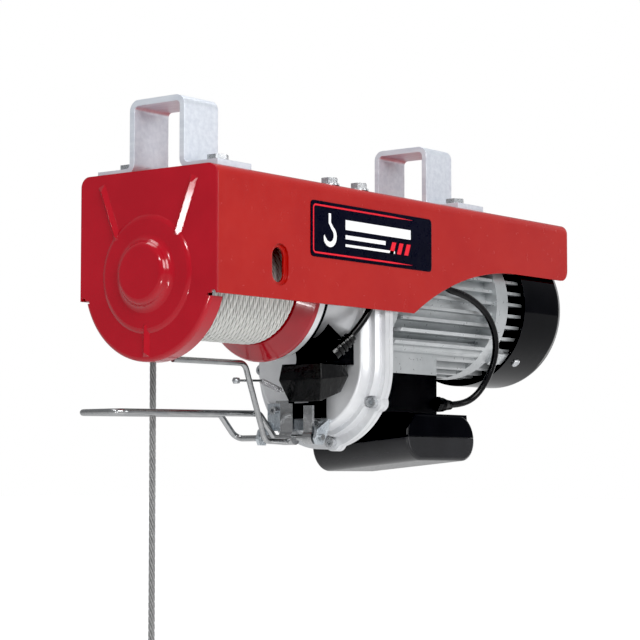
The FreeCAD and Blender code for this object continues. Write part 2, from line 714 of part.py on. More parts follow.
def cluster_gear():
    """Wheel and pinion in one piece, turning on the axle."""
    gap = towards(CLUSTER, MAIN) + 180.0 / CLUSTER_TEETH
    wheel = involute_gear(209.3, 215.7, CLUSTER_TEETH, MOTOR_MODULE, CLUSTER, gap, 0.6, 0)
    tooth = towards(CLUSTER, LAYSHAFT)
    pinion = involute_gear(199.9, 209.4, CLUSTER_PINION_TEETH, LAYSHAFT_MODULE, CLUSTER, tooth, 1.0, 0)
    return fuse([wheel, pinion]).cut(disc(199, 217, 4.05, *CLUSTER))


def motor_shaft():
    phase = towards(MAIN, CLUSTER)
    pinion = involute_gear(209.0, 216.5, MOTOR_TEETH, MOTOR_MODULE, MAIN, phase, 1.0, 0)
    steps = [
        disc(216.0, 219.0, 5.5), disc(219.0, 232.0, 5.95), disc(232.0, 386.0, 9.0),
        disc(386.0, 400.0, 5.95), disc(400.0, 478.0, 5.5),
    ]
    return fuse([pinion] + steps)


def drum_shaft():
    return fuse([disc(FACE_X - 5.5, 70.0, 10.0), disc(70.0, 198.3, 12.5)])


# ---------------------------------------------------------------- drum and rope
def drum_barrel():
    """Steel tube with the front flange and the front hub welded in."""
    start = WINDING_START
    barrel = ring(start, WINDING_END + 8, BARREL_R, BARREL_R - 3.5)
    flange = ring(start - 2.5, start, 64.0, 10.0)
    return fuse([barrel, flange, ring(start, start + 16, 18.0, 10.0)])


def drum_flange_rear():
    """Dished steel flange, outer edge towards the gearbox."""
    x0, x1, t = WINDING_END, DRUM_RIM_X, 2.4
    return revolved([
        (x0, BARREL_R), (x0, WINDING_R), (x1 - 3.5, DRUM_RIM_R - 1.2), (x1 - 1.2, DRUM_RIM_R),
        (x1, DRUM_RIM_R), (x1, DRUM_RIM_R - t), (x0 + t, WINDING_R - 1), (x0 + t, BARREL_R),
    ])


def drum_hub():
    """Cast disc behind the flange that carries the barrel on the shaft."""
    x = DRUM_RIM_X
    return revolved([
        (x, 64.8), (x + 7.8, 64.8), (x + 7.8, 20.0), (x - 12, 20.0), (x - 12, BARREL_R - 3.5),
        (x - 5.9, BARREL_R - 3.5), (x - 5.9, BARREL_R + 2), (x, 50.0),
    ]).cut(disc(0, 150, 12.5)).fuse(ring(x - 12, x + 7.8, 21.0, 12.5)).removeSplitter()


def rope_winding():
    return ring(WINDING_START, WINDING_END, WINDING_R, BARREL_R)


def rope_hanging():
    rope = rod((ROPE_X, ROPE_Y, WEIGHT_TOP), (ROPE_X, ROPE_Y, AXIS_Z), ROPE_D / 2)
    return rope.cut(disc(WINDING_START, WINDING_END, WINDING_R + 0.3))


def limit_weight():
    """Stop weight clamped on the rope: it lifts the stop lever when the hook is fully up."""
    x, y, top = ROPE_X, ROPE_Y, WEIGHT_TOP
    body = rod((x, y, top - 28), (x, y, top), WEIGHT_R)
    return body.makeFillet(4.0, [e for e in body.Edges if e.BoundBox.ZLength < 0.01])


def hook_block():
    """Swivel body under the weight, with the collar that the hook's shank turns in."""
    x, y, top = ROPE_X, ROPE_Y, WEIGHT_TOP - 28
    neck = rod((x, y, top - 6), (x, y, top), 8.0)
    body = rod((x, y, top - 24), (x, y, top - 6), 13.0)
    body = body.makeFillet(2.5, [e for e in body.Edges if e.BoundBox.ZLength < 0.01])
    shank_space = rod((x, y, top - 25), (x, y, top - 11), 5.06)
    head_space = rod((x, y, top - 18), (x, y, top - 11), 9.2)
    return fuse([neck, body]).cut(shank_space).cut(head_space)


HOOK_TOP = WEIGHT_TOP - 28 - 24
HOOK_R = 17.0               # inner radius of the hook's bowl
HOOK_BAR = 5.5


def hook():
    """Forged hook: head and shank in the swivel body, eye for the latch, open bowl."""
    x, y = ROPE_X, ROPE_Y
    bowl = HOOK_TOP - 20 - HOOK_R - HOOK_BAR
    mid_r = HOOK_R + HOOK_BAR
    steps = [
        rod((x, y, HOOK_TOP + 6.5), (x, y, HOOK_TOP + 12.5), 8.9),
        rod((x, y, HOOK_TOP - 6), (x, y, HOOK_TOP + 6.6), 5.0),
    ]
    points = [(x, y, HOOK_TOP - 2), (x, y, HOOK_TOP - 14)]
    for angle in range(35, -200, -39):
        a = math.radians(angle)
        points.append((x + mid_r * math.cos(a) - 2.0, y, bowl + mid_r * math.sin(a)))
    points.append((x - mid_r - 9.0, y, bowl + 21.0))
    bar = bent_wire(points, [min(11.0, r) for r in cord_radii(points)], HOOK_BAR)
    eye = rod((x + 1, y - 5.6, HOOK_TOP - 15), (x + 1, y + 5.6, HOOK_TOP - 15), 6.8)
    eye = eye.cut(rod((x + 1, y - 6, HOOK_TOP - 15), (x + 1, y + 6, HOOK_TOP - 15), 1.95))
    bar = bar.cut(rod((x + 1, y - 6, HOOK_TOP - 15), (x + 1, y + 6, HOOK_TOP - 15), 1.95))
    return fuse(steps + [bar, eye])


def hook_latch():
    """Sprung gate across the mouth: two cheeks on the hook's eye and a web between them."""
    x, y, z = ROPE_X + 1, ROPE_Y, HOOK_TOP - 15
    tip = (x - 21.0, z - 10.0)
    cheeks = []
    for side in (-1, 1):
        y0, y1 = sorted((y + side * 5.9, y + side * 7.2))
        arm = outline_xz([(x - 2, z - 5), (x + 2, z + 4), (tip[0], tip[1] + 3.5), tip], y0, y1)
        cheeks.append(rod((x, y0, z), (x, y1, z), 5.0).fuse(arm))
    web = outline_xz([
        (x - 12.5, z - 4.5), (x - 12.5, z - 2.7), (tip[0] - 2, tip[1] + 2.8), (tip[0] - 2, tip[1] + 1.0),
    ], y - 7.2, y + 7.2)
    pin = rod((x, y - 7.8, z), (x, y + 7.8, z), 1.9)
    return fuse(cheeks + [web, pin])


# ---------------------------------------------------------------- motor
def through_bolt_places():
    places = []
    for angle in QUARTERS:
        a = math.radians(angle)
        places.append((BOLT_RING * math.cos(a), AXIS_Z + BOLT_RING * math.sin(a)))
    return places


def motor_envelope(x0, x1, side=MOTOR_SIDE):
    return disc(x0, x1, MOTOR_R).common(block(x0, x1, -side, side, AXIS_Z - 80, AXIS_Z + 80))


def side_fins(x0, x1, inner, outer):
    """Level fins on both sides of the frame, between two distances from the middle."""
    fins = []
    for k in range(-4, 5):
        z = AXIS_Z + k * FIN_PITCH
        for side in (-1, 1):
            y0, y1 = sorted((side * inner, side * outer))
            fins.append(block(x0, x1, y0, y1, z - FIN_T / 2, z + FIN_T / 2))
    return fins


def upright_fins(x0, x1, z0, z1):
    return [
        block(x0, x1, k * FIN_PITCH - FIN_T / 2, k * FIN_PITCH + FIN_T / 2, z0, z1)
        for k in range(-4, 5)
    ]


def motor_housing():
    """Finned aluminium frame, with a terminal foot under its drum end."""
    start, end = CASE_BACK_X, MOTOR_END_X
    fins = side_fins(start + 13, end, 38, 75)
    fins += upright_fins(start + 13, end, AXIS_Z + 38, AXIS_Z + 75)
    fins += upright_fins(FOOT_END_X, end, AXIS_Z - 75, AXIS_Z - 38)
    bosses = [disc(start, end, 5.2, y, z) for y, z in through_bolt_places()]
    frame = fuse([disc(start, end, MOTOR_CORE_R), disc(start, start + 10, 64.0)] + bosses + fins)
    frame = frame.common(motor_envelope(start, end))
    foot = block(start, FOOT_END_X, -FOOT_Y, FOOT_Y, FOOT_Z, -180.0)
    frame = frame.fuse(foot)
    frame = frame.cut(disc(start - 1, end + 1, 54.5))
    frame = frame.cut(block(start + 3, FOOT_END_X - 3, -FOOT_Y + 3, FOOT_Y - 3, FOOT_Z - 1, -199.5))
    for y, z in through_bolt_places():
        frame = frame.cut(disc(start - 1, end + 1, 2.75, y, z))
    return frame.removeSplitter()


def stator_slots(x0, x1, grow):
    slots = []
    slot = Part.Face(Part.makePolygon([
        V(x0, -2.2 - grow, 33.0), V(x0, 2.2 + grow, 33.0), V(x0, 3.4 + grow, 45.0 + grow),
        V(x0, -3.4 - grow, 45.0 + grow), V(x0, -2.2 - grow, 33.0),
    ])).extrude(V(x1 - x0, 0, 0))
    for k in range(24):
        turned = slot.copy()
        turned.rotate(V(0, 0, 0), V(1, 0, 0), 15 * k)
        turned.translate(V(0, 0, AXIS_Z))
        slots.append(turned)
    return slots


def stator_core():
    x0, x1 = STATOR_X
    core = ring(x0, x1, 54.4, 31.5)
    for slot in stator_slots(x0 - 1, x1 + 1, 0.3):
        core = core.cut(slot)
    return core


def stator_windings():
    """Copper in the slots, joined by the end turns on both sides."""
    x0, x1 = STATOR_X
    ends = [ring(x0 - 15, x0 - 0.4, 46.0, 33.5), ring(x1 + 0.4, x1 + 15, 46.0, 33.5)]
    rounded = [e.makeFillet(4.0, e.Edges[:1]) for e in ends]
    return fuse(rounded + stator_slots(x0 - 1, x1 + 1, 0.0))


def rotor_core():
    """Rotor stack with its cast end rings and stub blades."""
    x0, x1 = STATOR_X
    parts = [ring(x0, x1, 31.1, 9.0), ring(x0 - 7, x0, 28.0, 16.0), ring(x1, x1 + 7, 28.0, 16.0)]
    for k in range(8):
        blade = block(x0 - 13, x0 - 6, 19, 27, -1, 1)
        blade.rotate(V(0, 0, 0), V(1, 0, 0), 45 * k)
        blade.translate(V(0, 0, AXIS_Z))
        parts.append(blade)
    return fuse(parts)


def motor_bearings():
    front = ball_bearing(CASE_BACK_X - 1.9, CASE_BACK_X + 8, 6.0, MOTOR_BEARING_R)
    rear = ball_bearing(387.0, 397.0, 6.0, MOTOR_BEARING_R)
    return compound(front + rear)


def motor_end_bell():
    """Rear bearing shield, with the fins that run on into the fan cover."""
    start, end = MOTOR_END_X, BELL_END_X
    rim = ring(start, end, MOTOR_R, 54.6)
    web = ring(end - 4, end, 60.0, 8.0)
    hub = disc(start + 5, end, 21.0)
    bell = fuse([rim, web, hub])
    fin_end = COVER_X + 5
    fins = side_fins(end - 1, fin_end, 50, 75)
    fins += upright_fins(end - 1, fin_end, AXIS_Z + 50, AXIS_Z + 75)
    fins += upright_fins(end - 1, fin_end, AXIS_Z - 75, AXIS_Z - 50)
    short_fins = fuse(fins).common(ring(end - 1, fin_end, MOTOR_R - 1, 58.0))
    lugs = []
    for place in QUARTERS:
        lug = block(end - 1, BOLT_HEAD_X, 57, 73.2, -7, 7)
        lug = lug.fuse(block(end - 1, COVER_SCREW_X + 4, 70.2, 73.2, -6, 6))
        lug.rotate(V(0, 0, 0), V(1, 0, 0), place)
        lug.translate(V(0, 0, AXIS_Z))
        lugs.append(lug)
    bell = fuse([bell, short_fins] + lugs)
    bell = bell.cut(disc(start, start + 7, 9.6))
    bell = bell.cut(disc(start + 6.9, end - 1.9, MOTOR_BEARING_R + BORE_FIT))
    bell = bell.cut(disc(start, end + 1, 8.0))
    for y, z in through_bolt_places():
        bell = bell.cut(disc(start - 1, BOLT_HEAD_X + 1, 2.75, y, z))
        bell = bell.cut(disc(BOLT_HEAD_X, BOLT_HEAD_X + 20, 4.9, y, z))
    return bell


def end_bell_bolts():
    """Long M5 bolts through the frame into the gearbox, hexagon heads at the fan end."""
    bolts = []
    for y, z in through_bolt_places():
        shank = disc(CASE_BACK_X - 6, BOLT_HEAD_X, 2.5, y, z)
        bolts.append(fuse([shank, hexagon((BOLT_HEAD_X, y, z), (1, 0, 0), 8.0, 4.0)]))
    return compound(bolts)


def brake_disc():
    """Friction disc on the shaft, against the end bell's rear face when the current is off."""
    hub = ring(402.5, 418.0, 11.0, 5.5)
    return fuse([hub, ring(BELL_END_X + 0.6, 404.5, 36.0, 9.0), ring(404.0, 408.0, 33.0, 5.5)])


def cooling_fan():
    hub = ring(446.0, 474.0, 12.0, 5.5)
    plate = ring(446.0, 448.5, 61.0, 5.5)
    blades = []
    for k in range(7):
        blade = block(448.0, 474.0, 11.0, 62.0, -1.2, 1.2)
        blade.rotate(V(0, 0, 0), V(1, 0, 0), 360.0 * k / 7)
        blade.translate(V(0, 0, AXIS_Z))
        blades.append(blade)
    return fuse([hub, plate] + blades)


def fan_cover():
    """Round moulded cover, open towards the motor, with ring slots in its rear wall."""
    x0, x1, wall = COVER_X, COVER_END_X, 2.0
    cover = disc(x0, x1, COVER_R)
    cover = cover.makeFillet(17.0, [e for e in cover.Edges if abs(e.BoundBox.XMin - x1) < 0.01])
    inner = disc(x0 - 1, x1 - wall, COVER_R - wall)
    inner = inner.makeFillet(15.0, [e for e in inner.Edges if abs(e.BoundBox.XMin - x1 + wall) < 0.01])
    cover = cover.cut(inner)
    spokes = [block(x1 - 30, x1 + 1, -2, 2, AXIS_Z - 80, AXIS_Z + 80),
              block(x1 - 30, x1 + 1, -80, 80, AXIS_Z - 2, AXIS_Z + 2)]
    for radius in (16, 25, 34, 43, 52):
        slot = ring(x1 - 6, x1 + 1, radius + 2.0, radius - 2.0)
        for spoke in spokes:
            slot = slot.cut(spoke)
        cover = cover.cut(slot)
    for place in QUARTERS:
        hole = rod((COVER_SCREW_X, 70, 0), (COVER_SCREW_X, 80, 0), 2.6)
        hole.rotate(V(0, 0, 0), V(1, 0, 0), place)
        hole.translate(V(0, 0, AXIS_Z))
        cover = cover.cut(hole)
    return cover


def fan_cover_screws():
    screws = []
    for place in QUARTERS:
        head = rod((COVER_SCREW_X, COVER_R, 0), (COVER_SCREW_X, COVER_R + 2.4, 0), 4.4)
        head = head.makeFillet(1.6, [e for e in head.Edges if abs(e.BoundBox.YMin - COVER_R - 2.4) < 0.01])
        shank = rod((COVER_SCREW_X, COVER_R - 2.2, 0), (COVER_SCREW_X, COVER_R + 0.5, 0), 2.4)
        screw = head.fuse(shank)
        screw.rotate(V(0, 0, 0), V(1, 0, 0), place)
        screw.translate(V(0, 0, AXIS_Z))
        screws.append(screw)
    return compound(screws)


# ---------------------------------------------------------------- electrical boxes
def tilt(shape):
    """Turns a shape drawn level into the capacitor box's slope."""
    shape.rotate(V(0, CAP_Y[0], CAP_Z), V(1, 0, 0), -CAP_TILT)
    return shape


def terminal_box():
    """Black box under the motor's foot; its sloping underside carries the capacitor box."""
    x0, x1, y0, y1 = CASE_BACK_X + 0.3, FOOT_END_X, -FOOT_Y, FOOT_Y
    box = block(x0, x1, y0, y1, -262, FOOT_Z - 0.02)
    below = tilt(block(x0 - 5, x1 + 5, y0 - 30, y1 + 30, CAP_Z - 40, CAP_Z + CAP_HALF_H + 0.05))
    box = box.cut(below)
    inner = block(x0 + 2.5, x1 - 2.5, y0 + 2.5, y1 - 2.5, -262, FOOT_Z + 1)
    floor = block(x0 - 5, x1 + 5, y0 - 30, y1 + 30, CAP_Z - 40, CAP_Z + CAP_HALF_H + 2.6)
    inner = inner.cut(tilt(floor))
    box = box.cut(inner)
    for y in GLAND_YS:
        box = box.cut(disc(x1 - 5, x1 + 1, 5.55, y, GLAND_Z))
    return box


def pill(x_inset, end_inset, half_height):
    """The capacitor box's outline: flat top and bottom, round sides, along Y."""
    (x0, x1), (y0, y1) = CAP_X, CAP_Y
    r = half_height
    parts = [
        block(x0 + x_inset + r, x1 - x_inset - r, y0 + end_inset, y1 - end_inset, CAP_Z - r, CAP_Z + r),
        rod((x0 + x_inset + r, y0 + end_inset, CAP_Z), (x0 + x_inset + r, y1 - end_inset, CAP_Z), r),
        rod((x1 - x_inset - r, y0 + end_inset, CAP_Z), (x1 - x_inset - r, y1 - end_inset, CAP_Z), r),
    ]
    return fuse(parts)


def capacitor_box_shell(upper):
    outer = pill(0.0, 0.0, CAP_HALF_H)
    rims = [
        e for e in outer.Edges
        if min(abs(e.BoundBox.YMin - y) + abs(e.BoundBox.YMax - y) for y in CAP_Y) < 0.02
    ]
    outer = outer.makeFillet(3.0, rims)
    shell = outer.cut(pill(2.5, 2.5, CAP_HALF_H - 2.5))
    low, high = (CAP_Z + 0.15, CAP_Z + 40) if upper else (CAP_Z - 40, CAP_Z - 0.15)
    half = shell.common(block(CAP_X[0] - 5, CAP_X[1] + 5, CAP_Y[0] - 5, CAP_Y[1] + 5, low, high))
    if upper:
        y0, top = CAP_Y[0], CAP_Z + CAP_HALF_H
        lid = block(CAP_X[0] + 14, CAP_X[1] - 10, y0 + 0.4, y0 + 6, CAP_Z + 17, top)
        half = half.fuse(lid).removeSplitter()
    return tilt(half)


def capacitor_cell():
    """Run capacitor: an aluminium can with two flat terminals."""
    y = (CAP_Y[0] + CAP_Y[1]) / 2
    can = rod((278, y, CAP_Z), (356, y, CAP_Z), 17.5)
    tabs = [block(355, 364, at - 0.4, at + 0.4, CAP_Z - 3.2, CAP_Z + 3.2) for at in (y - 6, y + 6)]
    return tilt(fuse([can] + tabs))


def cable_glands():
    """Three glands in the terminal box: switch lead, mains inlet and pendant inlet."""
    glands = []
    for y in GLAND_YS:
        x = FOOT_END_X
        sleeve = [(x + 5, 0.0), (x + 5, 6.6), (x + 14, 6.6), (x + 20, 5.2), (x + 27, 4.4), (x + 27, 0.0)]
        body = fuse([
            disc(x - 4.5, x, 5.5, y, GLAND_Z),
            hexagon((x, y, GLAND_Z), (1, 0, 0), 14.0, 6.0),
            revolved(sleeve, y, GLAND_Z),
        ])
        glands.append(body.cut(disc(x - 6, x + 30, LEAD_R + 0.02, y, GLAND_Z)))
    return compound(glands)


LEAD_ROUTE = [
    (327.0, -41.0, -238.5), (354.0, -41.0, -238.5), (373.0, -48.5, -231.5), (382.5, -57.5, -213.0),
    (383.5, -66.0, -191.0), (375.5, -70.8, -170.0), (359.0, -72.0, -152.5), (337.0, -72.0, -142.0),
    (316.0, -71.0, -136.8), (297.0, -69.0, -134.5), (279.0, -68.4, -118.0), (262.0, -67.8, -96.0),
    (241.0, -67.5, -80.0), (218.0, -67.5, -79.0), (198.5, -68.0, -90.0), (188.5, -68.6, -112.0),
    (190.5, -68.4, -137.0), (176.0, -66.5, -173.5), (153.0, -46.0, -200.7),
]


def switch_lead():
    """Lead from the terminal box to the limit switch, outside the motor and over the gearbox flange."""
    radii = cord_radii(LEAD_ROUTE)
    print("switch lead radii:", " ".join(f"{r:.0f}" for r in radii))
    lead = bent_wire(LEAD_ROUTE, radii, LEAD_R)
    length = rounded_path(LEAD_ROUTE, radii).Length
    ratio = lead.Volume / (math.pi * LEAD_R ** 2 * length)
    print(f"switch lead length {length:.0f} mm, volume ratio {ratio:.4f}")
    return lead


def lead_entry():
    """Where the lead ends in the switch body, and the direction it comes from."""
    end, before = V(*LEAD_ROUTE[-1]), V(*LEAD_ROUTE[-2])
    return end, (before - end).normalize()


def switch_box():
    """Limit-switch body: upper housing, contact block for the two plungers, and a clip for the lead."""
    (x0, x1), (y0, y1) = SWITCH_X, SWITCH_Y
    housing = fuse([
        block(x0 + 8, x1, y0 + 1, y1 - 6, -208, -186),
        block(x1 - 22, x1, y0 + 12, y1 - 2, -187, -170),
    ])
    contact = block(x1 - 8.2, x1, -20, 22, -254.0, -240.5)
    stem = block(x1 - 8.2, x1, -20, -6, -242, -207)
    box = fuse([housing, contact, stem]).cut(nose_cone(0.4)).cut(disc(x0, x1 + 5, 17.4, 0, SHAFT3_Z))
    for y in PLUNGER_YS:
        box = box.cut(disc(x1 - 9, x1 - 0.5, PLUNGER_R + 0.05, y, PLUNGER_Z))
    end, out = lead_entry()
    return box.cut(Part.makeCylinder(LEAD_R + 0.05, 40.0, end - out * 0.3, out))


def switch_boot():
    """Rubber boot under the switch body, with slanting facets."""
    (x0, x1), (y0, y1) = SWITCH_X, SWITCH_Y

    def section(front, back, near, far):
        """A four-cornered section from its front and back (x, z) and its near and far y."""
        corners = [V(x, y, z) for (x, z), y in ((front, near), (back, near), (back, far), (front, far))]
        return Part.makePolygon(corners + corners[:1])

    return Part.makeLoft([
        section((x0 + 2, -208.2), (x1 - 9, -208.2), y0 + 2, y1 - 2),
        section((x0, -222.0), (x1 - 9, -218.0), y0, y1),
        section((x0 + 2, -241.0), (x1 - 16, -232.0), y0 + 3, y1 - 10),
    ], True, True)


def switch_gland():
    """Ribbed strain relief on the switch body, round the lead."""
    end, out = lead_entry()
    body = Part.makeCone(7.0, 4.4, 24.0, end + out * 2.0, out)
    ribs = [
        Part.makeCylinder(radius, 2.2, end + out * (k * 4.4 + 7.5), out)
        for k, radius in enumerate((7.6, 7.1, 6.5, 5.9))
    ]
    relief = fuse([body] + ribs)
    relief = relief.cut(Part.makeCylinder(LEAD_R + 0.02, 40.0, end, out))
    return relief.cut(block(SWITCH_X[0] + 8, SWITCH_X[1] + 0.02, SWITCH_Y[0] + 0.95, 0, -215, -180))


# ---------------------------------------------------------------- limit levers
def bracket_screw_z(y):
    return LOBE_Z - math.sqrt(54.0 ** 2 - y ** 2)


def lever_bracket():
    """Bent steel bracket on the gearbox face with two ears that carry the lever rod."""
    x = CASE_FACE_X
    plate = block(x - 3.0, x - 0.02, -23.0, 45.0, -264.5, -255.0)
    ears = []
    for y in (-23.0, 42.0):
        ears.append(outline_xz([
            (x - 1, -255.0), (x - 1, -264.5), (PIVOT_X + 4, -277.5),
            (PIVOT_X - 4, -277.5), (PIVOT_X - 7, -272.0), (PIVOT_X - 4, -264.0),
        ], y, y + 3.0))
    upright = block(x - 3.0, x - 0.02, 30.0, 45.0, -264.5, -240.0)
    bracket = fuse([plate, upright] + ears)
    bracket = bracket.cut(rod((PIVOT_X, -30, PIVOT_Z), (PIVOT_X, 50, PIVOT_Z), LOOP_WIRE_R + 0.06))
    for y in LEVER_SCREW_YS:
        bracket = bracket.cut(disc(x - 5, x + 1, 2.3, y, bracket_screw_z(y)))
    return bracket


def lever_bracket_screws():
    return compound([
        socket_screw(CASE_FACE_X - 3.02, y, bracket_screw_z(y), 2.0, 6.0, 3.6, 4.0) for y in LEVER_SCREW_YS
    ])


def stop_lever():
    """Wire lever that the stop weight lifts: a long loop round the rope, and its rod in the bracket."""
    near, far = 28.5, 73.5
    tip_x, tip_z = -34.0, -252.6
    heel_x, heel_z = 146.0, -249.9
    wire = bent_wire(
        [(PIVOT_X, -26, PIVOT_Z), (PIVOT_X, far, PIVOT_Z), (heel_x, far, heel_z), (tip_x, far, tip_z),
         (tip_x, near, tip_z), (heel_x, near, heel_z), (PIVOT_X - 1.0, near, PIVOT_Z + 1.0)],
        [8.0, 8.0, 9.0, 9.0, 8.0], LOOP_WIRE_R)
    arm = block(*ARM_X, *STOP_ARM_Y, PIVOT_Z, PIVOT_Z + 28)
    collar = rod((PIVOT_X, STOP_ARM_Y[0], PIVOT_Z), (PIVOT_X, STOP_ARM_Y[1], PIVOT_Z), 6.0)
    return fuse([wire, arm, collar])


def bail_lever():
    """Wire lever along the underside of the winding, on a collar round the stop lever's rod."""
    mid = sum(BAIL_ARM_Y) / 2
    wire = bent_wire(
        [(0.0, 0.0, -209.3), (92.0, 0.0, -208.6), (127.0, 6.0, -274.4), (PIVOT_X - 3.5, mid, -275.0)],
        [10.0, 10.0], BAIL_WIRE_R)
    collar = rod((PIVOT_X, BAIL_ARM_Y[0], PIVOT_Z), (PIVOT_X, BAIL_ARM_Y[1], PIVOT_Z), 6.4)
    arm = block(*ARM_X, *BAIL_ARM_Y, PIVOT_Z, PIVOT_Z + 32)
    tab = block(ARM_X[0] - 6, ARM_X[1], *BAIL_ARM_Y, PIVOT_Z + 30, PIVOT_Z + 32.5)
    lever = fuse([wire, collar, arm, tab])
    return lever.cut(rod((PIVOT_X, -30, PIVOT_Z), (PIVOT_X, 60, PIVOT_Z), LOOP_WIRE_R + 0.06))


def lever_spring():
    """Pull rod with its end nut and its return spring, hooked to the bail's leg."""
    nut_centre, rod_end, coil_end = (84.3, 3.4, -223.7), (118.0, 3.4, -222.5), (144.0, 2.0, -230.4)
    nut = Part.makeSphere(3.2, V(*nut_centre))
    pull = rod(nut_centre, rod_end, 1.1)
    coil = rod(rod_end, coil_end, 2.6)
    hook_end = rod(coil_end, (147.0, 1.8, -231.4), 1.1)
    return fuse([nut, pull, coil, hook_end])


def plunger(y):
    """Push rod of one limit switch, with its button against the lever's arm."""
    tip = ARM_X[1] + 0.3
    return fuse([disc(tip, tip + 8.4, PLUNGER_R, y, PLUNGER_Z), disc(tip, tip + 1.2, 3.4, y, PLUNGER_Z)])


# ---------------------------------------------------------------- write every sub-part
PARTS = {
    "housing_shell": housing_shell,
    "drum_end_cover": drum_end_cover,
    "name_plate": name_plate,
    "drum_end_bushing": drum_end_bushing,
    "clamp_strap_front": lambda: clamp_strap(0.0),
    "clamp_strap_rear": lambda: clamp_strap(REAR_STRAP_X),
    "clamp_bolts": clamp_bolts,
    "clamp_nuts": clamp_nuts,
    "gearbox_front_case": gearbox_front_case,
    "gearbox_rear_case": gearbox_rear_case,
    "gearbox_gasket": gearbox_gasket,
    "gearbox_screws": gearbox_screws,
    "gearbox_bracket": gearbox_bracket,
    "bracket_bolts": bracket_bolts,
    "dust_guard": dust_guard,
    "drum_bearings": drum_bearings,
    "layshaft_bearings": layshaft_bearings,
    "cluster_axle": cluster_axle,
    "drum_gear": drum_gear,
    "layshaft": layshaft,
    "layshaft_gear": layshaft_gear,
    "cluster_gear": cluster_gear,
    "motor_shaft": motor_shaft,
    "drum_shaft": drum_shaft,
    "drum_barrel": drum_barrel,
    "drum_flange_rear": drum_flange_rear,
    "drum_hub": drum_hub,
    "rope_winding": rope_winding,
    "rope_hanging": rope_hanging,
    "limit_weight": limit_weight,
    "hook_block": hook_block,
    "hook": hook,
    "hook_latch": hook_latch,
    "motor_housing": motor_housing,
    "stator_core": stator_core,
    "stator_windings": stator_windings,
    "rotor_core": rotor_core,
    "motor_bearings": motor_bearings,
    "motor_end_bell": motor_end_bell,
    "end_bell_bolts": end_bell_bolts,
    "brake_disc": brake_disc,
    "cooling_fan": cooling_fan,
    "fan_cover": fan_cover,
    "fan_cover_screws": fan_cover_screws,
    "terminal_box": terminal_box,
    "capacitor_box_upper": lambda: capacitor_box_shell(True),
    "capacitor_box_lower": lambda: capacitor_box_shell(False),
    "capacitor_cell": capacitor_cell,
    "cable_glands": cable_glands,
    "switch_lead": switch_lead,
    "switch_box": switch_box,
    "switch_boot": switch_boot,
    "switch_gland": switch_gland,
    "lever_bracket": lever_bracket,
    "lever_bracket_screws": lever_bracket_screws,
    "stop_lever": stop_lever,
    "bail_lever": bail_lever,
    "lever_spring": lever_spring,
    "upper_limit_plunger": lambda: plunger(PLUNGER_YS[0]),
    "lower_limit_plunger": lambda: plunger(PLUNGER_YS[1]),
}

os.makedirs("parts", exist_ok=True)
for name, make in PARTS.items():
    shape = make()
    solids = len(shape.Solids)
    if not shape.isValid() or solids == 0:
        print("BAD", name, "valid", shape.isValid(), "solids", solids)
    shape.exportStep(f"parts/{name}.step")
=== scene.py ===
import bpy
import json
import math
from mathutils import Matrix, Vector


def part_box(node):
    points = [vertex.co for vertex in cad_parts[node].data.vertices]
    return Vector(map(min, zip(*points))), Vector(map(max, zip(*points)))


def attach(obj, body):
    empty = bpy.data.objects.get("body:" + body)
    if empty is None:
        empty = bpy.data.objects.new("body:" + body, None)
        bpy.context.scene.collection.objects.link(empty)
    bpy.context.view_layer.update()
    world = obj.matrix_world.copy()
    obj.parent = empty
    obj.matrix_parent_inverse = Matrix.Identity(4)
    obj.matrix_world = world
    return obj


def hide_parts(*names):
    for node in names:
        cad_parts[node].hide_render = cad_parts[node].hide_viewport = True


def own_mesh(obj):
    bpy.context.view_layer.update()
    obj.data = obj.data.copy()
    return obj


# Looks of an electric wire-rope hoist: finishes for the CAD nodes, and the rope, hook, lead, spring and label
# graphics as pieces of their own. Metres, in the CAD's frame: +X from drum to motor, -Y is the labelled side.

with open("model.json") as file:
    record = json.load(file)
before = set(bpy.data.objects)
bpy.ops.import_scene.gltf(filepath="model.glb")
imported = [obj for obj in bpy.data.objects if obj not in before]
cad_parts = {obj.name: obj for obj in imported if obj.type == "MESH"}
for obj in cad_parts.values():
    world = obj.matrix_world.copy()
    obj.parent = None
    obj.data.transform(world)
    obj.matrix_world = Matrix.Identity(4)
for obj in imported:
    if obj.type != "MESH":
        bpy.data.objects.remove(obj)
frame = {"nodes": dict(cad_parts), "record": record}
for leftover in ("Cube", "Light", "Camera"):
    if leftover in bpy.data.objects:
        bpy.data.objects.remove(bpy.data.objects[leftover])
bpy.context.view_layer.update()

AXIS_Z = -0.1415            # height of the drum's axis
ROPE_R = 0.0028
ROPE_PITCH = 0.0066         # from one turn to the next
ROPE_LAY = 0.036            # a strand goes once round in this length
LAYER_R = (0.0382, 0.0432, 0.0482)      # to the middle of the rope, inner layer first
WINDING_X = (-0.0162, 0.0995)
FALL_X = 0.029              # where the rope leaves the drum
REAR_START = 0.12           # turns past FALL_X, towards the motor, at which the outer layer goes on
STEP_UP = 0.3               # turns that the rope takes to climb on to the next layer
STRANDS = 6
STRAND_SECTOR = 360 / STRANDS
VALLEY_SHARE = 0.577        # of the rope's radius, at the bottom between two strands
WIRES_ROUND = 42            # single wires that the bump shows round the rope
INNER_DETAIL = (64, 3)      # centres per turn and points per strand, for turns that hardly show
OUTER_DETAIL = (168, 5)
UP_Z = Vector((0, 0, 1))


# ---------------------------------------------------------------- materials
def new_node(tree, kind, inputs=None, **settings):
    made = tree.nodes.new(kind)
    for key, value in settings.items():
        setattr(made, key, value)
    for key, value in (inputs or {}).items():
        made.inputs[key].default_value = value
    return made


def object_space(tree, stretch=(1, 1, 1), offset=(0, 0, 0)):
    place = new_node(tree, "ShaderNodeTexCoord")
    mapping = new_node(tree, "ShaderNodeMapping", {"Scale": stretch, "Location": offset})
    tree.links.new(place.outputs["Object"], mapping.inputs["Vector"])
    return mapping.outputs["Vector"]


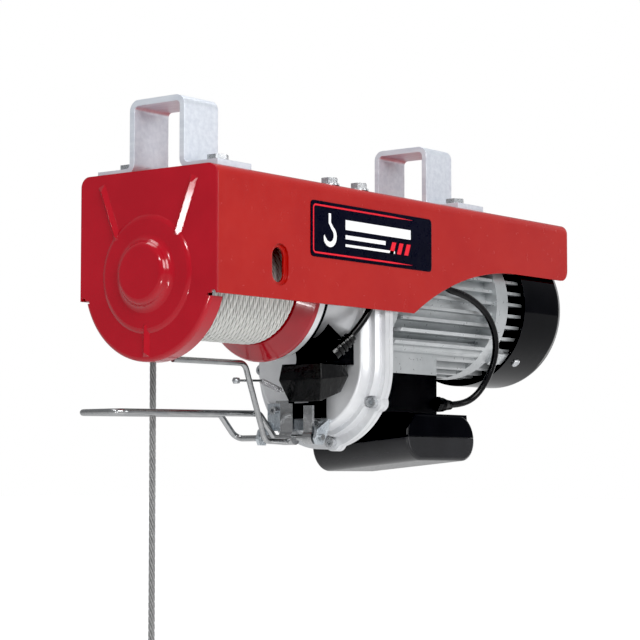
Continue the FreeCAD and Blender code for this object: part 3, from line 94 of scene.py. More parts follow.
def noise(tree, scale, detail, stretch=(1, 1, 1)):
    made = new_node(tree, "ShaderNodeTexNoise", {"Scale": scale, "Detail": detail, "Roughness": 0.55})
    tree.links.new(object_space(tree, stretch), made.inputs["Vector"])
    return made.outputs["Fac"]


def remap(tree, value, low, high, to_low, to_high):
    made = new_node(tree, "ShaderNodeMapRange",
                    {"From Min": low, "From Max": high, "To Min": to_low, "To Max": to_high})
    tree.links.new(value, made.inputs["Value"])
    return made.outputs["Result"]


def blend_colours(tree, factor, first, second):
    """Mixes two colours, each given as a triple or as a socket."""
    made = new_node(tree, "ShaderNodeMix", data_type="RGBA")
    tree.links.new(factor, made.inputs[0])
    for index, colour in ((6, first), (7, second)):
        if isinstance(colour, tuple):
            made.inputs[index].default_value = (*colour, 1)
        else:
            tree.links.new(colour, made.inputs[index])
    return made.outputs[2]


def bump(tree, height, depth, normal=None):
    made = new_node(tree, "ShaderNodeBump", {"Strength": 1.0, "Distance": depth})
    tree.links.new(height, made.inputs["Height"])
    if normal is not None:
        tree.links.new(normal, made.inputs["Normal"])
    return made.outputs["Normal"]


def start_material(name, metal, specular, coat, coat_rough):
    material = bpy.data.materials.new(name)
    material.use_nodes = True
    tree = material.node_tree
    shader = tree.nodes["Principled BSDF"]
    shader.inputs["Metallic"].default_value = metal
    shader.inputs["Specular IOR Level"].default_value = specular
    shader.inputs["Coat Weight"].default_value = coat
    shader.inputs["Coat Roughness"].default_value = coat_rough
    return material, tree, shader


def end_material(tree, shader, colour, gloss, normal):
    tree.links.new(colour, shader.inputs["Base Color"])
    tree.links.new(gloss, shader.inputs["Roughness"])
    tree.links.new(normal, shader.inputs["Normal"])


def finish(name, tones, rough, metal=0.0, specular=0.5, coat=0.0, coat_rough=0.06, patch=22.0,
           grain=1500.0, grain_depth=0.00002, ripple=0.0, ripple_scale=60.0, stretch=(1, 1, 1), edge=0.0004,
           rings=0.0, bands=0.0, specks=None):
    """Two drifting tones, uneven gloss and a fine grain, with softened edges; optional turned rings, bands
    stacked along X, and specks given as (colour, scale, threshold, strength)."""
    material, tree, shader = start_material(name, metal, specular, coat, coat_rough)
    drift = remap(tree, noise(tree, patch, 5.0, stretch), 0.35, 0.65, 0.0, 1.0)
    colour = blend_colours(tree, drift, *tones)
    if specks:
        speck_colour, scale, threshold, strength = specks
        spots = remap(tree, noise(tree, scale, 2.0), threshold, threshold + 0.06, 0.0, strength)
        colour = blend_colours(tree, spots, colour, speck_colour)
    normal = None
    if edge:
        soft = new_node(tree, "ShaderNodeBevel", {"Radius": edge}, samples=4)
        normal = soft.outputs["Normal"]
    if ripple:
        normal = bump(tree, noise(tree, ripple_scale, 2.0), ripple, normal)
    if rings or bands:
        wave = new_node(tree, "ShaderNodeTexWave",
                        {"Scale": rings or bands, "Distortion": 0.6, "Detail": 1.0},
                        wave_type="RINGS" if rings else "BANDS",
                        **({"rings_direction": "X"} if rings else {"bands_direction": "X"}))
        tree.links.new(object_space(tree, (1, 1, 1), (0, 0, -AXIS_Z)), wave.inputs["Vector"])
        normal = bump(tree, wave.outputs["Fac"], grain_depth * 2, normal)
        colour = blend_colours(tree, remap(tree, wave.outputs["Fac"], 0, 1, 0.0, 0.35), colour, tones[1])
    normal = bump(tree, noise(tree, grain, 3.0, stretch), grain_depth, normal)
    gloss = remap(tree, noise(tree, patch * 6, 4.0, stretch), 0.3, 0.7, rough[0], rough[1])
    end_material(tree, shader, colour, gloss, normal)
    return material


def wire_rope_material(name, light, dull, grime_and_valley_shade):
    """Galvanised strands: bright crowns, valleys darkened with painted shade and grime, single wires along
    the rope.
    """
    material, tree, shader = start_material(name, 0.45, 0.5, 0.0, 0.1)
    crown = new_node(tree, "ShaderNodeAttribute", attribute_name="crown").outputs["Fac"]
    wires = new_node(tree, "ShaderNodeAttribute", attribute_name="round").outputs["Fac"]
    lines = new_node(tree, "ShaderNodeMath", {1: 2 * math.pi * WIRES_ROUND}, operation="MULTIPLY")
    sine = new_node(tree, "ShaderNodeMath", operation="SINE")
    tree.links.new(wires, lines.inputs[0])
    tree.links.new(lines.outputs[0], sine.inputs[0])
    drift = remap(tree, noise(tree, 300.0, 4.0), 0.35, 0.65, 0.0, 1.0)
    bright = blend_colours(tree, drift, light, dull)
    # Painted shade with some grime: the colour darkens down into the valleys between strands.
    valley = remap(tree, crown, 0.0, 0.55, 1.0, 0.0)
    colour = blend_colours(tree, valley, bright, grime_and_valley_shade)
    gloss = remap(tree, noise(tree, 900.0, 2.0), 0.3, 0.7, 0.34, 0.52)
    normal = bump(tree, sine.outputs[0], 0.00006)
    normal = bump(tree, noise(tree, 4000.0, 2.0), 0.00002, normal)
    end_material(tree, shader, colour, gloss, normal)
    return material


ROLLED = (1, 9, 9)          # noise drawn out along X
BRUSHED_Y = (7, 1, 7)       # and along Y
MATERIALS = {
    "red_side": finish("side_enamel", ((0.38, 0.015, 0.012), (0.35, 0.011, 0.010)), (0.20, 0.28),
                       specular=0.35, coat=0.20, grain=300.0, grain_depth=0.00001, ripple=0.00012,
                       ripple_scale=9.0, edge=0.0007),
    "red_cover": finish("cover_enamel", ((0.37, 0.005, 0.014), (0.33, 0.004, 0.012)), (0.12, 0.18),
                        specular=0.35, coat=0.35, coat_rough=0.04, grain=300.0, grain_depth=0.00001,
                        ripple=0.00012, ripple_scale=16.0, edge=0.0009),
    "red_flange": finish("flange_enamel", ((0.34, 0.006, 0.013), (0.27, 0.004, 0.011)), (0.12, 0.20),
                         specular=0.40, coat=0.50, coat_rough=0.05, grain=500.0, grain_depth=0.00001,
                         edge=0.0005),
    "label": finish("label_foil", ((0.0020, 0.0022, 0.0075), (0.0028, 0.003, 0.010)), (0.25, 0.34),
                    specular=0.12, grain=2600.0, grain_depth=0.000006),
    "bronze": finish("bronze_sintered", ((0.62, 0.42, 0.18), (0.46, 0.29, 0.11)), (0.30, 0.45), metal=1.0,
                     grain=5000.0, grain_depth=0.00004, specks=((0.1, 0.07, 0.03), 3500.0, 0.62, 0.7)),
    "zinc_strap": finish("strap_zinc", ((0.76, 0.80, 0.86), (0.66, 0.70, 0.77)), (0.32, 0.46), metal=0.55,
                         patch=30.0, grain=900.0, grain_depth=0.00002, stretch=BRUSHED_Y, edge=0.0007),
    "zinc_bolt": finish("bolt_zinc", ((0.56, 0.57, 0.58), (0.42, 0.44, 0.46)), (0.22, 0.36), metal=0.85,
                        patch=120.0, grain=2500.0, grain_depth=0.00001, edge=0.0004),
    "zinc_sheet": finish("sheet_zinc", ((0.56, 0.60, 0.63), (0.42, 0.46, 0.50)), (0.22, 0.38), metal=0.75,
                         patch=60.0, grain=1400.0, grain_depth=0.00002, stretch=(1, 4, 1), edge=0.0005),
    "zinc_wire": finish("wire_zinc", ((0.44, 0.44, 0.44), (0.33, 0.34, 0.35)), (0.14, 0.26), metal=1.0,
                        patch=80.0, grain=2500.0, grain_depth=0.00001, stretch=ROLLED, edge=0.0),
    "cast_alloy": finish("gearbox_alloy", ((0.76, 0.77, 0.78), (0.68, 0.69, 0.71)), (0.30, 0.44), metal=0.5,
                         patch=26.0, grain=2200.0, grain_depth=0.00003, ripple=0.00012, ripple_scale=90.0,
                         edge=0.0007),
    "motor_alloy": finish("motor_alloy", ((0.58, 0.60, 0.61), (0.48, 0.50, 0.51)), (0.26, 0.40), metal=0.65,
                          patch=34.0, grain=2400.0, grain_depth=0.00003, ripple=0.0001, ripple_scale=120.0,
                          edge=0.0005),
    "can_aluminium": finish("can_drawn", ((0.72, 0.72, 0.73), (0.60, 0.60, 0.62)), (0.18, 0.30), metal=1.0,
                            grain=1800.0, grain_depth=0.00001, stretch=ROLLED),
    "gasket": finish("gasket_sheet", ((0.015, 0.016, 0.016), (0.03, 0.03, 0.028)), (0.6, 0.8), specular=0.2,
                     patch=200.0, grain=5200.0, grain_depth=0.00006, edge=0.0),
    "black_steel": finish("bracket_black", ((0.010, 0.010, 0.011), (0.018, 0.018, 0.019)), (0.34, 0.50),
                          specular=0.3, patch=40.0, grain=1500.0, grain_depth=0.00004, edge=0.0006,
                          specks=((0.06, 0.06, 0.06), 900.0, 0.70, 0.5)),
    "black_plastic": finish("plastic_matt", ((0.0012, 0.0012, 0.0015), (0.0022, 0.0022, 0.0026)),
                            (0.34, 0.46), specular=0.06, patch=50.0, grain=3000.0, grain_depth=0.00004,
                            edge=0.0006),
    "black_gloss": finish("plastic_gloss", ((0.0010, 0.0010, 0.0016), (0.0018, 0.0018, 0.0026)), (0.05, 0.10),
                          specular=0.14, patch=40.0, grain=900.0, grain_depth=0.000006, ripple=0.00008,
                          ripple_scale=40.0, edge=0.0008),
    "dark_grey_plastic": finish("plastic_grey", ((0.014, 0.014, 0.015), (0.018, 0.018, 0.020)), (0.16, 0.24),
                                specular=0.40, patch=40.0, grain=900.0, grain_depth=0.000006, edge=0.0010),
    "boot_rubber": finish("rubber_boot", ((0.0012, 0.0012, 0.0013), (0.0022, 0.0022, 0.0023)), (0.10, 0.20),
                          specular=0.40, patch=90.0, grain=2400.0, grain_depth=0.00003, ripple=0.0006,
                          ripple_scale=130.0, edge=0.0012),
    "lead_sheath": finish("sheath_black", ((0.0030, 0.0030, 0.0034), (0.006, 0.006, 0.0065)), (0.20, 0.30),
                          specular=0.22, patch=120.0, grain=2600.0, grain_depth=0.00002, edge=0.0),
    "bearing_steel": finish("bearing_ground", ((0.66, 0.66, 0.67), (0.52, 0.52, 0.54)), (0.12, 0.22),
                            metal=1.0, grain=3000.0, grain_depth=0.000004, rings=700.0, edge=0.0),
    "gear_steel": finish("gear_oiled", ((0.42, 0.41, 0.40), (0.26, 0.25, 0.24)), (0.16, 0.34), metal=1.0,
                         coat=0.4, patch=150.0, grain=2600.0, grain_depth=0.00001, rings=1200.0, edge=0.0002),
    "drum_steel": finish("drum_turned", ((0.48, 0.48, 0.49), (0.36, 0.36, 0.37)), (0.26, 0.42), metal=1.0,
                         patch=60.0, grain=2200.0, grain_depth=0.00001, rings=900.0, edge=0.0004),
    "weight_iron": finish("weight_black", ((0.008, 0.008, 0.009), (0.020, 0.020, 0.020)), (0.38, 0.58),
                          specular=0.3, patch=90.0, grain=1300.0, grain_depth=0.00012, edge=0.0008),
    "hook_body": finish("hook_enamel", ((0.45, 0.007, 0.016), (0.38, 0.006, 0.013)), (0.16, 0.28),
                        specular=0.4, coat=0.25, grain=600.0, grain_depth=0.00003, edge=0.0006),
    "hook_steel": finish("hook_forged", ((0.56, 0.58, 0.60), (0.42, 0.44, 0.46)), (0.34, 0.52), metal=0.9,
                         patch=90.0, grain=1100.0, grain_depth=0.00008, ripple=0.0002, ripple_scale=160.0,
                         edge=0.0006),
    "lamination": finish("stacked_sheet", ((0.34, 0.34, 0.36), (0.14, 0.14, 0.15)), (0.32, 0.46), metal=1.0,
                         grain=2600.0, grain_depth=0.00002, bands=320.0, edge=0.0),
    "copper": finish("winding_copper", ((0.60, 0.24, 0.09), (0.42, 0.15, 0.05)), (0.20, 0.34), metal=1.0,
                     coat=0.5, patch=260.0, grain=1200.0, grain_depth=0.0002, stretch=(1, 6, 6), edge=0.0),
    "brake_lining": finish("lining_friction", ((0.10, 0.085, 0.07), (0.055, 0.05, 0.045)), (0.65, 0.85),
                           specular=0.2, patch=300.0, grain=2600.0, grain_depth=0.00012, edge=0.0004,
                           specks=((0.42, 0.28, 0.13), 1800.0, 0.66, 0.8)),
    "spring_steel": finish("spring_drawn", ((0.60, 0.60, 0.61), (0.46, 0.46, 0.48)), (0.18, 0.30), metal=1.0,
                           patch=200.0, grain=2600.0, grain_depth=0.00001, edge=0.0),
    # The last colour is the valleys' painted shade and grime.
    "wire_rope": wire_rope_material("rope_galvanised", (0.86, 0.86, 0.83), (0.76, 0.77, 0.74),
                                    (0.26, 0.26, 0.24)),
}
# A darker copy of the rope, painted shade: it darkens the inner turns, seen in the gaps between outer turns,
# and the fall.
SHADED_ROPE_COPY = wire_rope_material("rope_darker_shaded_copy", (0.34, 0.34, 0.34), (0.26, 0.26, 0.26), (0.07, 0.07, 0.07))
LABEL_WHITE = finish("label_print_white", ((0.86, 0.86, 0.87), (0.80, 0.80, 0.82)), (0.3, 0.4), specular=0.3,
                     grain=2600.0, grain_depth=0.000006, edge=0.0)
LABEL_RED = finish("label_print_red", ((0.72, 0.014, 0.03), (0.62, 0.012, 0.026)), (0.3, 0.4), specular=0.3,
                   grain=2600.0, grain_depth=0.000006, edge=0.0)

for part in frame["record"]["subparts"]:
    mesh = frame["nodes"][part["node"]].data
    mesh.materials.clear()
    mesh.materials.append(MATERIALS[part["material_slot"]])


# ---------------------------------------------------------------- mesh helpers
def new_piece(name, vertices, faces, material, body, smooth=True):
    mesh = bpy.data.meshes.new(name)
    mesh.from_pydata(vertices, [], faces)
    mesh.validate()
    mesh.polygons.foreach_set("use_smooth", [smooth] * len(mesh.polygons))
    mesh.materials.append(material)
    piece = bpy.data.objects.new(name, mesh)
    bpy.context.scene.collection.objects.link(piece)
    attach(piece, body)
    return piece


def sweep(centres, sides, ups, profile_at):
    """Vertices and faces of a closed tube: at each centre, the profile's (across, up) offsets."""
    vertices = []
    for k, (centre, side, up) in enumerate(zip(centres, sides, ups)):
        profile = profile_at(k)
        vertices.extend(centre + side * a + up * b for a, b in profile)
    n, count = len(profile), len(centres)
    faces = [
        (k * n + j, k * n + (j + 1) % n, (k + 1) * n + (j + 1) % n, (k + 1) * n + j)
        for k in range(count - 1) for j in range(n)
    ]
    faces.append(tuple(reversed(range(n))))
    faces.append(tuple((count - 1) * n + j for j in range(n)))
    return vertices, faces


def carried_frames(centres):
    """Side and up directions that follow a line without twisting."""
    directions = []
    for k in range(len(centres)):
        directions.append((centres[min(k + 1, len(centres) - 1)] - centres[max(k - 1, 0)]).normalized())
    first = directions[0]
    side = first.cross(UP_Z if abs(first.z) < 0.9 else Vector((0, 1, 0))).normalized()
    sides, ups = [], []
    for direction in directions:
        side = (side - direction * side.dot(direction)).normalized()
        sides.append(side)
        ups.append(side.cross(direction))
    return sides, ups


def circle(radius, count):
    return [(radius * math.cos(2 * math.pi * k / count), radius * math.sin(2 * math.pi * k / count))
            for k in range(count)]


def lobes(per_strand):
    """(angle, radius, crown) of six strands round a core; crown is 0 in a valley and 1 on a strand's top."""
    strand_r = ROPE_R / 3
    places = []
    for k in range(STRANDS):
        for j in range(per_strand):
            off = math.radians(-STRAND_SECTOR / 2 + STRAND_SECTOR * j / per_strand)
            half_chord_squared = strand_r ** 2 - (2 * strand_r * math.sin(off)) ** 2
            reach = 2 * strand_r * math.cos(off) + math.sqrt(max(0, half_chord_squared))
            crown = (reach / ROPE_R - VALLEY_SHARE) / (1 - VALLEY_SHARE)
            places.append((2 * math.pi * k / STRANDS + off, reach, crown))
    return places


def eased(low, high, share):
    """From low to high, starting and ending level."""
    return low + (high - low) * share * share * (3 - 2 * share)


def rope_piece(name, centres, sides, ups, per_strand, body, material):
    """A laid rope along a line, with the attributes that its material reads."""
    places = lobes(per_strand)
    travelled = [0.0]
    for before, after in zip(centres, centres[1:]):
        travelled.append(travelled[-1] + (after - before).length)

    def profile_at(k):
        turn = 2 * math.pi * travelled[k] / ROPE_LAY
        return [(reach * math.cos(angle + turn), reach * math.sin(angle + turn))
                for angle, reach, _ in places]

    vertices, faces = sweep(centres, sides, ups, profile_at)
    piece = new_piece(name, vertices, faces, material, body)
    crown = piece.data.attributes.new("crown", "FLOAT", "POINT")
    crown.data.foreach_set("value", [place[2] for place in places] * len(centres))
    turned = piece.data.attributes.new("round", "FLOAT", "POINT")
    turned.data.foreach_set("value", [
        (angle + 2 * math.pi * distance / ROPE_LAY) / (2 * math.pi)
        for distance in travelled for angle, _, _ in places
    ])
    return piece


# ---------------------------------------------------------------- rope on the drum
def winding_line(passes, end_turn, per_turn):
    """Centres and outward directions along layers of turns, each pass (from x, to x, layer); the radius
    changes smoothly between passes. The line ends at end_turn, where a whole number is on the +Y side."""
    legs = []
    for start, end, layer in passes:
        legs.append((start, end, LAYER_R[layer], abs(end - start) / ROPE_PITCH))
    total = sum(leg[3] for leg in legs)
    centres, radials = [], []
    count = round(total * per_turn)
    for k in range(count + 1):
        turn = total * k / count
        done, index = 0.0, 0
        while index < len(legs) - 1 and turn > done + legs[index][3]:
            done += legs[index][3]
            index += 1
        start, end, radius, turns = legs[index]
        share = (turn - done) / turns
        x = start + (end - start) * share
        if index and turn - done < STEP_UP:
            radius = eased(legs[index - 1][2], radius, (turn - done) / STEP_UP)
        angle = -2 * math.pi * (turn - total + end_turn)
        radial = Vector((0, math.cos(angle), math.sin(angle)))
        centres.append(Vector((x, 0, AXIS_Z)) + radial * radius)
        radials.append(radial)
    return centres, radials


def wound_rope(name, passes, end_turn, detail, material):
    per_turn, per_strand = detail
    centres, radials = winding_line(passes, end_turn, per_turn)
    sides = [Vector((1, 0, 0))] * len(centres)
    piece = rope_piece(name, centres, sides, radials, per_strand, "drum", material)
    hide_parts("rope_winding")


front_turns = (FALL_X - WINDING_X[0]) / ROPE_PITCH
# The inner layer in the darker rope copy: painted shade in the gaps between outer turns.
wound_rope("rope_turns_inner", [(*WINDING_X, 0), (WINDING_X[1], WINDING_X[0], 1)], -front_turns,
           INNER_DETAIL, SHADED_ROPE_COPY)
wound_rope("rope_turns_front", [(WINDING_X[0], FALL_X, 2)], 0.0, OUTER_DETAIL, MATERIALS["wire_rope"])
wound_rope("rope_turns_rear", [(FALL_X + REAR_START * ROPE_PITCH, WINDING_X[1], 2)],
           (WINDING_X[1] - FALL_X) / ROPE_PITCH, OUTER_DETAIL, MATERIALS["wire_rope"])


# ---------------------------------------------------------------- curves from the CAD's routes
def nurbs_curve(name, points, radius, resolution):
    """A smooth curve whose control points are the route's points."""
    data = bpy.data.curves.new(name, "CURVE")
    data.dimensions = "3D"
    data.resolution_u = resolution
    data.bevel_depth = radius
    data.bevel_resolution = 6
    data.use_fill_caps = True
    spline = data.splines.new("NURBS")
    spline.points.add(len(points) - 1)
    for point, place in zip(spline.points, points):
        point.co = (*place, 1)
    spline.order_u = 3
    spline.use_endpoint_u = True
    piece = bpy.data.objects.new(name, data)
    bpy.context.scene.collection.objects.link(piece)
    return piece


def line_of(points, resolution):
    """Points read back from the NURBS spline of a route."""
    guide = nurbs_curve("guide", points, 0.0, resolution)
    bpy.context.view_layer.update()
    mesh = bpy.data.meshes.new_from_object(guide)
    line = [v.co.copy() for v in mesh.vertices]
    bpy.data.objects.remove(guide)
    bpy.data.meshes.remove(mesh)
    return line


# ---------------------------------------------------------------- turned parts
def straight_tube(name, stations, material, body, count):
    """A turned part along a straight line, from (point, radius) stations."""
    centres = [Vector(p) for p, _ in stations]
    ahead = (centres[-1] - centres[0]).normalized()
    side = ahead.cross(UP_Z).normalized()
    up = side.cross(ahead)
    radii = [r for _, r in stations]
    vertices, faces = sweep(centres, [side] * len(centres), [up] * len(centres),
                            lambda k: circle(radii[k], count))
    return new_piece(name, vertices, faces, material, body)


def along(start, end, distance):
    a, b = Vector(start), Vector(end)
    return a + (b - a).normalized() * distance


# ---------------------------------------------------------------- forged hook
ROPE_Y = LAYER_R[2]
BLOCK_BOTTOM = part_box("hook_block")[0].z
HOOK_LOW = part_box("hook")[0].z
BOWL_R = 0.0225             # to the middle of the bar
BOWL_RISE = 0.0055          # the route's lowest point above the CAD hook's
HOOK_FLATTENING = 0.86      # the bar's thickness to its depth
HOOK_TAPER = ((0.0, 0.0049), (0.16, 0.0049), (0.30, 0.0052), (0.58, 0.0062), (0.80, 0.0052),
              (0.94, 0.0040), (0.985, 0.0028), (1.0, 0.0010))       # (share of the length, half depth)
EYE_X, EYE_Z = FALL_X + 0.001, BLOCK_BOTTOM - 0.015
EYE_PROFILE = ((-0.0056, 0.0055), (-0.0054, 0.0063), (-0.0048, 0.0068), (0.0048, 0.0068),
               (0.0054, 0.0063), (0.0056, 0.0055))                  # (place along Y, radius)


def tapered(share, stations):
    """Half depth at a share of the length, eased between the stations."""
    for (s0, r0), (s1, r1) in zip(stations, stations[1:]):
        if share <= s1:
            return eased(r0, r1, (share - s0) / (s1 - s0))
    return stations[-1][1]


def forged_hook():
    """One bar, deepest at the bottom of the bowl and drawn out to a blunt tip."""
    bowl = Vector((FALL_X - 0.002, ROPE_Y, HOOK_LOW + BOWL_RISE + BOWL_R))
    route = [(FALL_X, ROPE_Y, BLOCK_BOTTOM + drop) for drop in (0.006, -0.004, -0.013)]
    for degrees in range(35, -200, -39):
        a = math.radians(degrees)
        route.append(tuple(bowl + Vector((math.cos(a), 0, math.sin(a))) * BOWL_R))
    route.append((FALL_X - BOWL_R - 0.0075, ROPE_Y, bowl.z + 0.019))
    line = line_of(route, 14)
    side = Vector((0, 1, 0))
    ups = []
    for k in range(len(line)):
        ahead = line[min(k + 1, len(line) - 1)] - line[max(k - 1, 0)]
        ups.append(ahead.normalized().cross(side))
    depth = [tapered(k / (len(line) - 1), HOOK_TAPER) for k in range(len(line))]

    def profile_at(k):
        return [(HOOK_FLATTENING * a, b) for a, b in circle(depth[k], 24)]

    vertices, faces = sweep(line, [side] * len(line), ups, profile_at)
    piece = new_piece("hook_forging", vertices, faces, MATERIALS["hook_steel"], "hook")
    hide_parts("hook")


forged_hook()
hook_eye = straight_tube("hook_eye", [((EYE_X, ROPE_Y + y, EYE_Z), r) for y, r in EYE_PROFILE],
                         MATERIALS["hook_steel"], "hook", 32)
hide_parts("hook")


# ---------------------------------------------------------------- the fall and the lead
ROPE_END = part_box("limit_weight")[1].z
FALL_ROUTE = [(FALL_X, ROPE_Y, AXIS_Z), (FALL_X, ROPE_Y, AXIS_Z + (ROPE_END - AXIS_Z) * 0.35),
              (FALL_X, ROPE_Y, AXIS_Z + (ROPE_END - AXIS_Z) * 0.7), (FALL_X, ROPE_Y, ROPE_END)]
fall_line = line_of(FALL_ROUTE, 96)
fall_sides, fall_ups = carried_frames(fall_line)
# The fall in the darker rope copy: painted shade.
fall = rope_piece("rope_fall", fall_line, fall_sides, fall_ups, OUTER_DETAIL[1], "load", SHADED_ROPE_COPY)
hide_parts("rope_hanging")
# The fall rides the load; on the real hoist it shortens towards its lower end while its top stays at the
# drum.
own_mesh(fall)

LEAD_ROUTE = [
    (0.3270, -0.0410, -0.2385), (0.3540, -0.0410, -0.2385), (0.3730, -0.0485, -0.2315),
    (0.3825, -0.0575, -0.2130), (0.3835, -0.0660, -0.1910), (0.3755, -0.0708, -0.1700),
    (0.3590, -0.0720, -0.1525), (0.3370, -0.0720, -0.1420), (0.3160, -0.0710, -0.1368),
    (0.2970, -0.0690, -0.1345), (0.2790, -0.0684, -0.1180), (0.2620, -0.0678, -0.0960),
    (0.2410, -0.0675, -0.0800), (0.2180, -0.0675, -0.0790), (0.1985, -0.0680, -0.0900),
    (0.1885, -0.0686, -0.1120), (0.1905, -0.0684, -0.1370), (0.1760, -0.0665, -0.1735),
    (0.1530, -0.0460, -0.2007),
]
LEAD_R = 0.0031
lead = nurbs_curve("switch_lead_sheath", LEAD_ROUTE, LEAD_R, 12)
lead.data.materials.append(MATERIALS["lead_sheath"])
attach(lead, "frame")
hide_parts("switch_lead")


# ---------------------------------------------------------------- the bail's pull rod and spring
ROD_START, ROD_END = (0.0812, 0.0034, -0.2238), (0.1180, 0.0034, -0.2225)
SPRING_END = (0.1440, 0.0020, -0.2304)
SPRING_TIP = (0.1470, 0.0018, -0.2314)      # the spring's free end, which no other part holds
ROD_STATIONS, THREADED_STATIONS = 100, 60
ROD_R, THREAD_DEPTH = 0.00105, 0.00016
COIL_R, COIL_TURNS, COIL_STEPS, SPRING_WIRE_R = 0.00215, 13, 20, 0.00045
NUT_PROFILE = ((0.0, 0.0006), (0.0003, 0.0016), (0.0012, 0.0027), (0.0024, 0.0031), (0.0034, 0.0031),
               (0.0035, 0.0028), (0.0046, 0.0028), (0.0062, 0.0028), (0.0063, 0.0011))  # (place, radius)
thread = []
for k in range(ROD_STATIONS):
    distance = 0.0045 + 0.0323 * k / (ROD_STATIONS - 1)
    thread.append((along(ROD_START, ROD_END, distance),
                   ROD_R - THREAD_DEPTH * (k % 2) * (k < THREADED_STATIONS)))
rod = straight_tube("pull_rod", thread, MATERIALS["zinc_wire"], "bail_lever", 14)
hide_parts("lever_spring")
nut = straight_tube("pull_rod_nut", [(along(ROD_START, ROD_END, d), r) for d, r in NUT_PROFILE],
                    MATERIALS["zinc_bolt"], "bail_lever", 6)
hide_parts("lever_spring")


def spring_line(start, end):
    """A helix between two points, with half a turn drawn in to the middle at each end."""
    a, b = Vector(start), Vector(end)
    ahead = (b - a).normalized()
    side = ahead.cross(UP_Z).normalized()
    up = side.cross(ahead)
    count = COIL_TURNS * COIL_STEPS
    line = []
    for k in range(count + 1):
        share = k / count
        angle = 2 * math.pi * COIL_TURNS * share
        reach = COIL_R * min(1.0, 2 * COIL_TURNS * share, 2 * COIL_TURNS * (1 - share))
        line.append(a + (b - a) * share + side * (reach * math.cos(angle)) + up * (reach * math.sin(angle)))
    return line


coil = [along(ROD_END, ROD_START, 0.002)] + spring_line(ROD_END, SPRING_END) + [Vector(SPRING_TIP)]
coil_sides, coil_ups = carried_frames(coil)
spring_vertices, spring_faces = sweep(coil, coil_sides, coil_ups, lambda k: circle(SPRING_WIRE_R, 8))
spring = new_piece("bail_spring", spring_vertices, spring_faces, MATERIALS["spring_steel"], "bail_lever")
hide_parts("lever_spring")


# ---------------------------------------------------------------- label graphics, plain shapes only
PLATE_LOW, PLATE_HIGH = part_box("name_plate")
PRINT_Y = (PLATE_LOW.y, PLATE_LOW.y - 0.00006)


def prints(name, outlines, material):
    """Flat prints on the label, each outline a closed run of (x, z) points."""
    vertices, faces = [], []
    for outline in outlines:
        first, n = len(vertices), len(outline)
        for y in PRINT_Y:
            vertices.extend((x, y, z) for x, z in outline)
        faces.append(tuple(first + n + j for j in range(n)))
        faces.append(tuple(first + n - 1 - j for j in range(n)))
        for j in range(n):
            i = (j + 1) % n
            faces.append((first + j, first + i, first + n + i, first + n + j))
    return new_piece(name, vertices, faces, material, "frame", smooth=False)


def strip(line, half):
    """An outline on both sides of a line; half is its half width at each point."""
    left, right = [], []
    for k, (x, z) in enumerate(line):
        (ax, az), (bx, bz) = line[max(k - 1, 0)], line[min(k + 1, len(line) - 1)]
        size = math.hypot(bx - ax, bz - az)
        nx, nz = -(bz - az) / size, (bx - ax) / size
        left.append((x + nx * half[k], z + nz * half[k]))
        right.append((x - nx * half[k], z - nz * half[k]))
    return left + right[::-1]


KEYLINE_INSET, KEYLINE_BEND_R, KEYLINE_HALF, KEYLINE_TIP_HALF = 0.0036, 0.0030, 0.00075, 0.0001
KEYLINE_SHARE = 0.83        # of the plate's length
KEYLINE_TIP = 0.03          # length over which each end narrows
CORNER_STEPS = 8


def corner(cx, cz, start):
    """A quarter turn of the keyline, from the angle start."""
    angles = [math.radians(start + 90 * k / CORNER_STEPS) for k in range(CORNER_STEPS + 1)]
    return [(cx + KEYLINE_BEND_R * math.cos(a), cz + KEYLINE_BEND_R * math.sin(a)) for a in angles]


left_x, low_z, high_z = PLATE_LOW.x + KEYLINE_INSET, PLATE_LOW.z + KEYLINE_INSET, PLATE_HIGH.z - KEYLINE_INSET
open_x = PLATE_LOW.x + KEYLINE_SHARE * (PLATE_HIGH.x - PLATE_LOW.x)
keyline = [(open_x, high_z), (open_x - KEYLINE_TIP, high_z)]
keyline += corner(left_x + KEYLINE_BEND_R, high_z - KEYLINE_BEND_R, 90)
keyline += corner(left_x + KEYLINE_BEND_R, low_z + KEYLINE_BEND_R, 180)
keyline += [(open_x - KEYLINE_TIP, low_z), (open_x, low_z)]
widths = [KEYLINE_TIP_HALF] + [KEYLINE_HALF] * (len(keyline) - 2) + [KEYLINE_TIP_HALF]
prints("label_keyline", [strip(keyline, widths)], LABEL_RED)


def bar(x0, z0, width, height, slant=0.0):
    return [(x0, z0), (x0 + width, z0), (x0 + width + slant, z0 + height), (x0 + slant, z0 + height)]


MARK_R, MARK_HALF = 0.0075, 0.0016      # the hook pictogram's bend and half line width
mark_x, mark_z = PLATE_LOW.x + 0.026, (PLATE_LOW.z + PLATE_HIGH.z) / 2
hook_arc = [(mark_x + MARK_R * math.cos(math.radians(a)),
             mark_z - 0.0045 + MARK_R * math.sin(math.radians(a))) for a in range(60, -181, -15)]
hook_line = [(mark_x, mark_z + 0.0145), (mark_x, mark_z + 0.0065)] + hook_arc
hook_half = [MARK_HALF, MARK_HALF] + [MARK_HALF + 0.0007 * math.sin(math.pi * k / 16) for k in range(15)]
hook_half += [0.0012, 0.0004]
stripe_x = PLATE_LOW.x + 0.048
STRIPES = ((0.0025, 0.096, 0.0085), (-0.0055, 0.058, 0.0035), (-0.0120, 0.072, 0.0022))
stripes = [bar(stripe_x, mark_z + rise, width, height) for rise, width, height in STRIPES]
accents = [bar(PLATE_LOW.x + 0.112 + 0.011 * k, mark_z - 0.0120, 0.006, 0.0100, 0.004) for k in range(3)]
prints("label_marks", [strip(hook_line, hook_half)] + stripes, LABEL_WHITE)
prints("label_accents", accents, LABEL_RED)


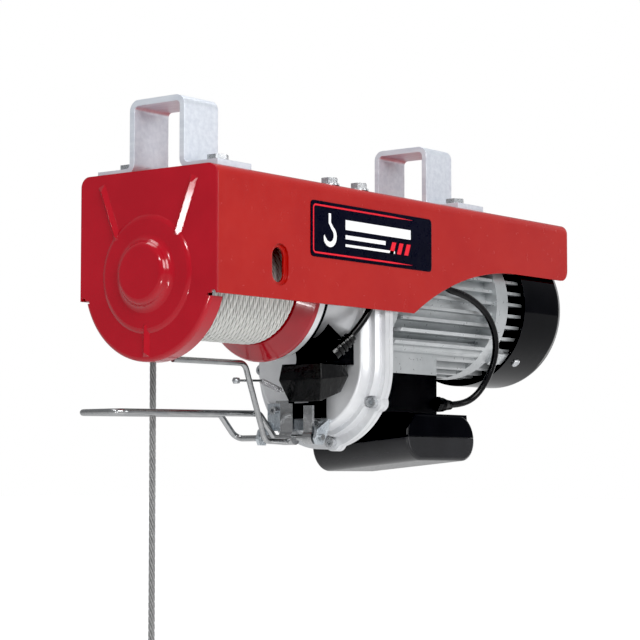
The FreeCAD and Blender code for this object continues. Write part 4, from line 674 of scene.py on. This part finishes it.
# ---------------------------------------------------------------- studio
def softbox(name, place, target, size, power):
    data = bpy.data.lights.new(name, "AREA")
    data.shape = "RECTANGLE"
    data.size, data.size_y = size
    data.energy = power
    light = bpy.data.objects.new(name, data)
    bpy.context.scene.collection.objects.link(light)
    light.location = place
    light.rotation_euler = (Vector(target) - Vector(place)).to_track_quat("-Z", "Y").to_euler()
    light.visible_camera = False


MIDDLE = (0.20, 0.0, -0.15)
COVER = (-0.03, 0.0, -0.14)
softbox("key", (-1.1, -2.3, 1.1), MIDDLE, (1.6, 1.2), 55)
softbox("side_fill", (1.2, -2.4, 0.2), MIDDLE, (0.8, 1.6), 13)
softbox("cover_glint_high", (-1.9, -0.35, 0.95), COVER, (0.30, 0.16), 9)
softbox("cover_glint_low", (-1.5, -0.9, -0.75), COVER, (0.50, 0.08), 5)
softbox("top", (0.3, 0.2, 1.8), MIDDLE, (2.4, 0.9), 30)
softbox("rim", (2.4, -0.2, -0.2), MIDDLE, (0.6, 2.0), 8)

world = bpy.data.worlds.new("studio")
bpy.context.scene.world = world
world.use_nodes = True
tree = world.node_tree
tree.nodes.clear()
seen = new_node(tree, "ShaderNodeBackground", {"Color": (1, 1, 1, 1), "Strength": 1.0})
lit = new_node(tree, "ShaderNodeBackground", {"Color": (0.97, 0.98, 1.0, 1), "Strength": 0.36})
path = new_node(tree, "ShaderNodeLightPath")
either = new_node(tree, "ShaderNodeMixShader")
output = new_node(tree, "ShaderNodeOutputWorld")
tree.links.new(path.outputs["Is Camera Ray"], either.inputs[0])
tree.links.new(lit.outputs[0], either.inputs[1])
tree.links.new(seen.outputs[0], either.inputs[2])
tree.links.new(either.outputs[0], output.inputs["Surface"])

FLOOR_Z = -2.2              # the hoist hangs overhead, so views from below stay above the floor
FLOOR_HALF = 150.0
FLOOR_LIT, FLOOR_SEEN = 0.30, 0.80      # the floor's glow on the hoist, and to the camera
floor_mesh = bpy.data.meshes.new("floor")
floor_corners = [(x * FLOOR_HALF, y * FLOOR_HALF, FLOOR_Z) for x, y in ((-1, -1), (1, -1), (1, 1), (-1, 1))]
floor_mesh.from_pydata(floor_corners, [], [(0, 1, 2, 3)])
floor = bpy.data.objects.new("floor", floor_mesh)
bpy.context.scene.collection.objects.link(floor)
floor_material = finish("floor_paper", ((0.93, 0.93, 0.93), (0.90, 0.90, 0.90)), (0.8, 0.9), specular=0.1,
                        patch=1.0, grain=200.0, grain_depth=0.00005, edge=0.0)
floor_shader = floor_material.node_tree.nodes["Principled BSDF"]
floor_shader.inputs["Emission Color"].default_value = (1, 1, 1, 1)
floor_tree = floor_material.node_tree
floor_seen = new_node(floor_tree, "ShaderNodeLightPath").outputs["Is Camera Ray"]
floor_glow = remap(floor_tree, floor_seen, 0, 1, FLOOR_LIT, FLOOR_SEEN)
floor_tree.links.new(floor_glow, floor_shader.inputs["Emission Strength"])
floor_mesh.materials.append(floor_material)

view = bpy.context.scene.view_settings
view.view_transform = "Standard"
view.look = "None"
view.use_curve_mapping = True
tone = view.curve_mapping
tone.black_level = (0.010, 0.010, 0.010)
tone.update()

camera_data = bpy.data.cameras.new("camera")
camera_data.lens = 117.2
camera_data.sensor_width = 36.0
camera = bpy.data.objects.new("camera", camera_data)
bpy.context.scene.collection.objects.link(camera)
camera.location = (-1.27378, -1.14244, -0.30625)
camera.rotation_euler = (math.radians(94.3272), 0.0, math.radians(-52.1615))
bpy.context.scene.camera = camera
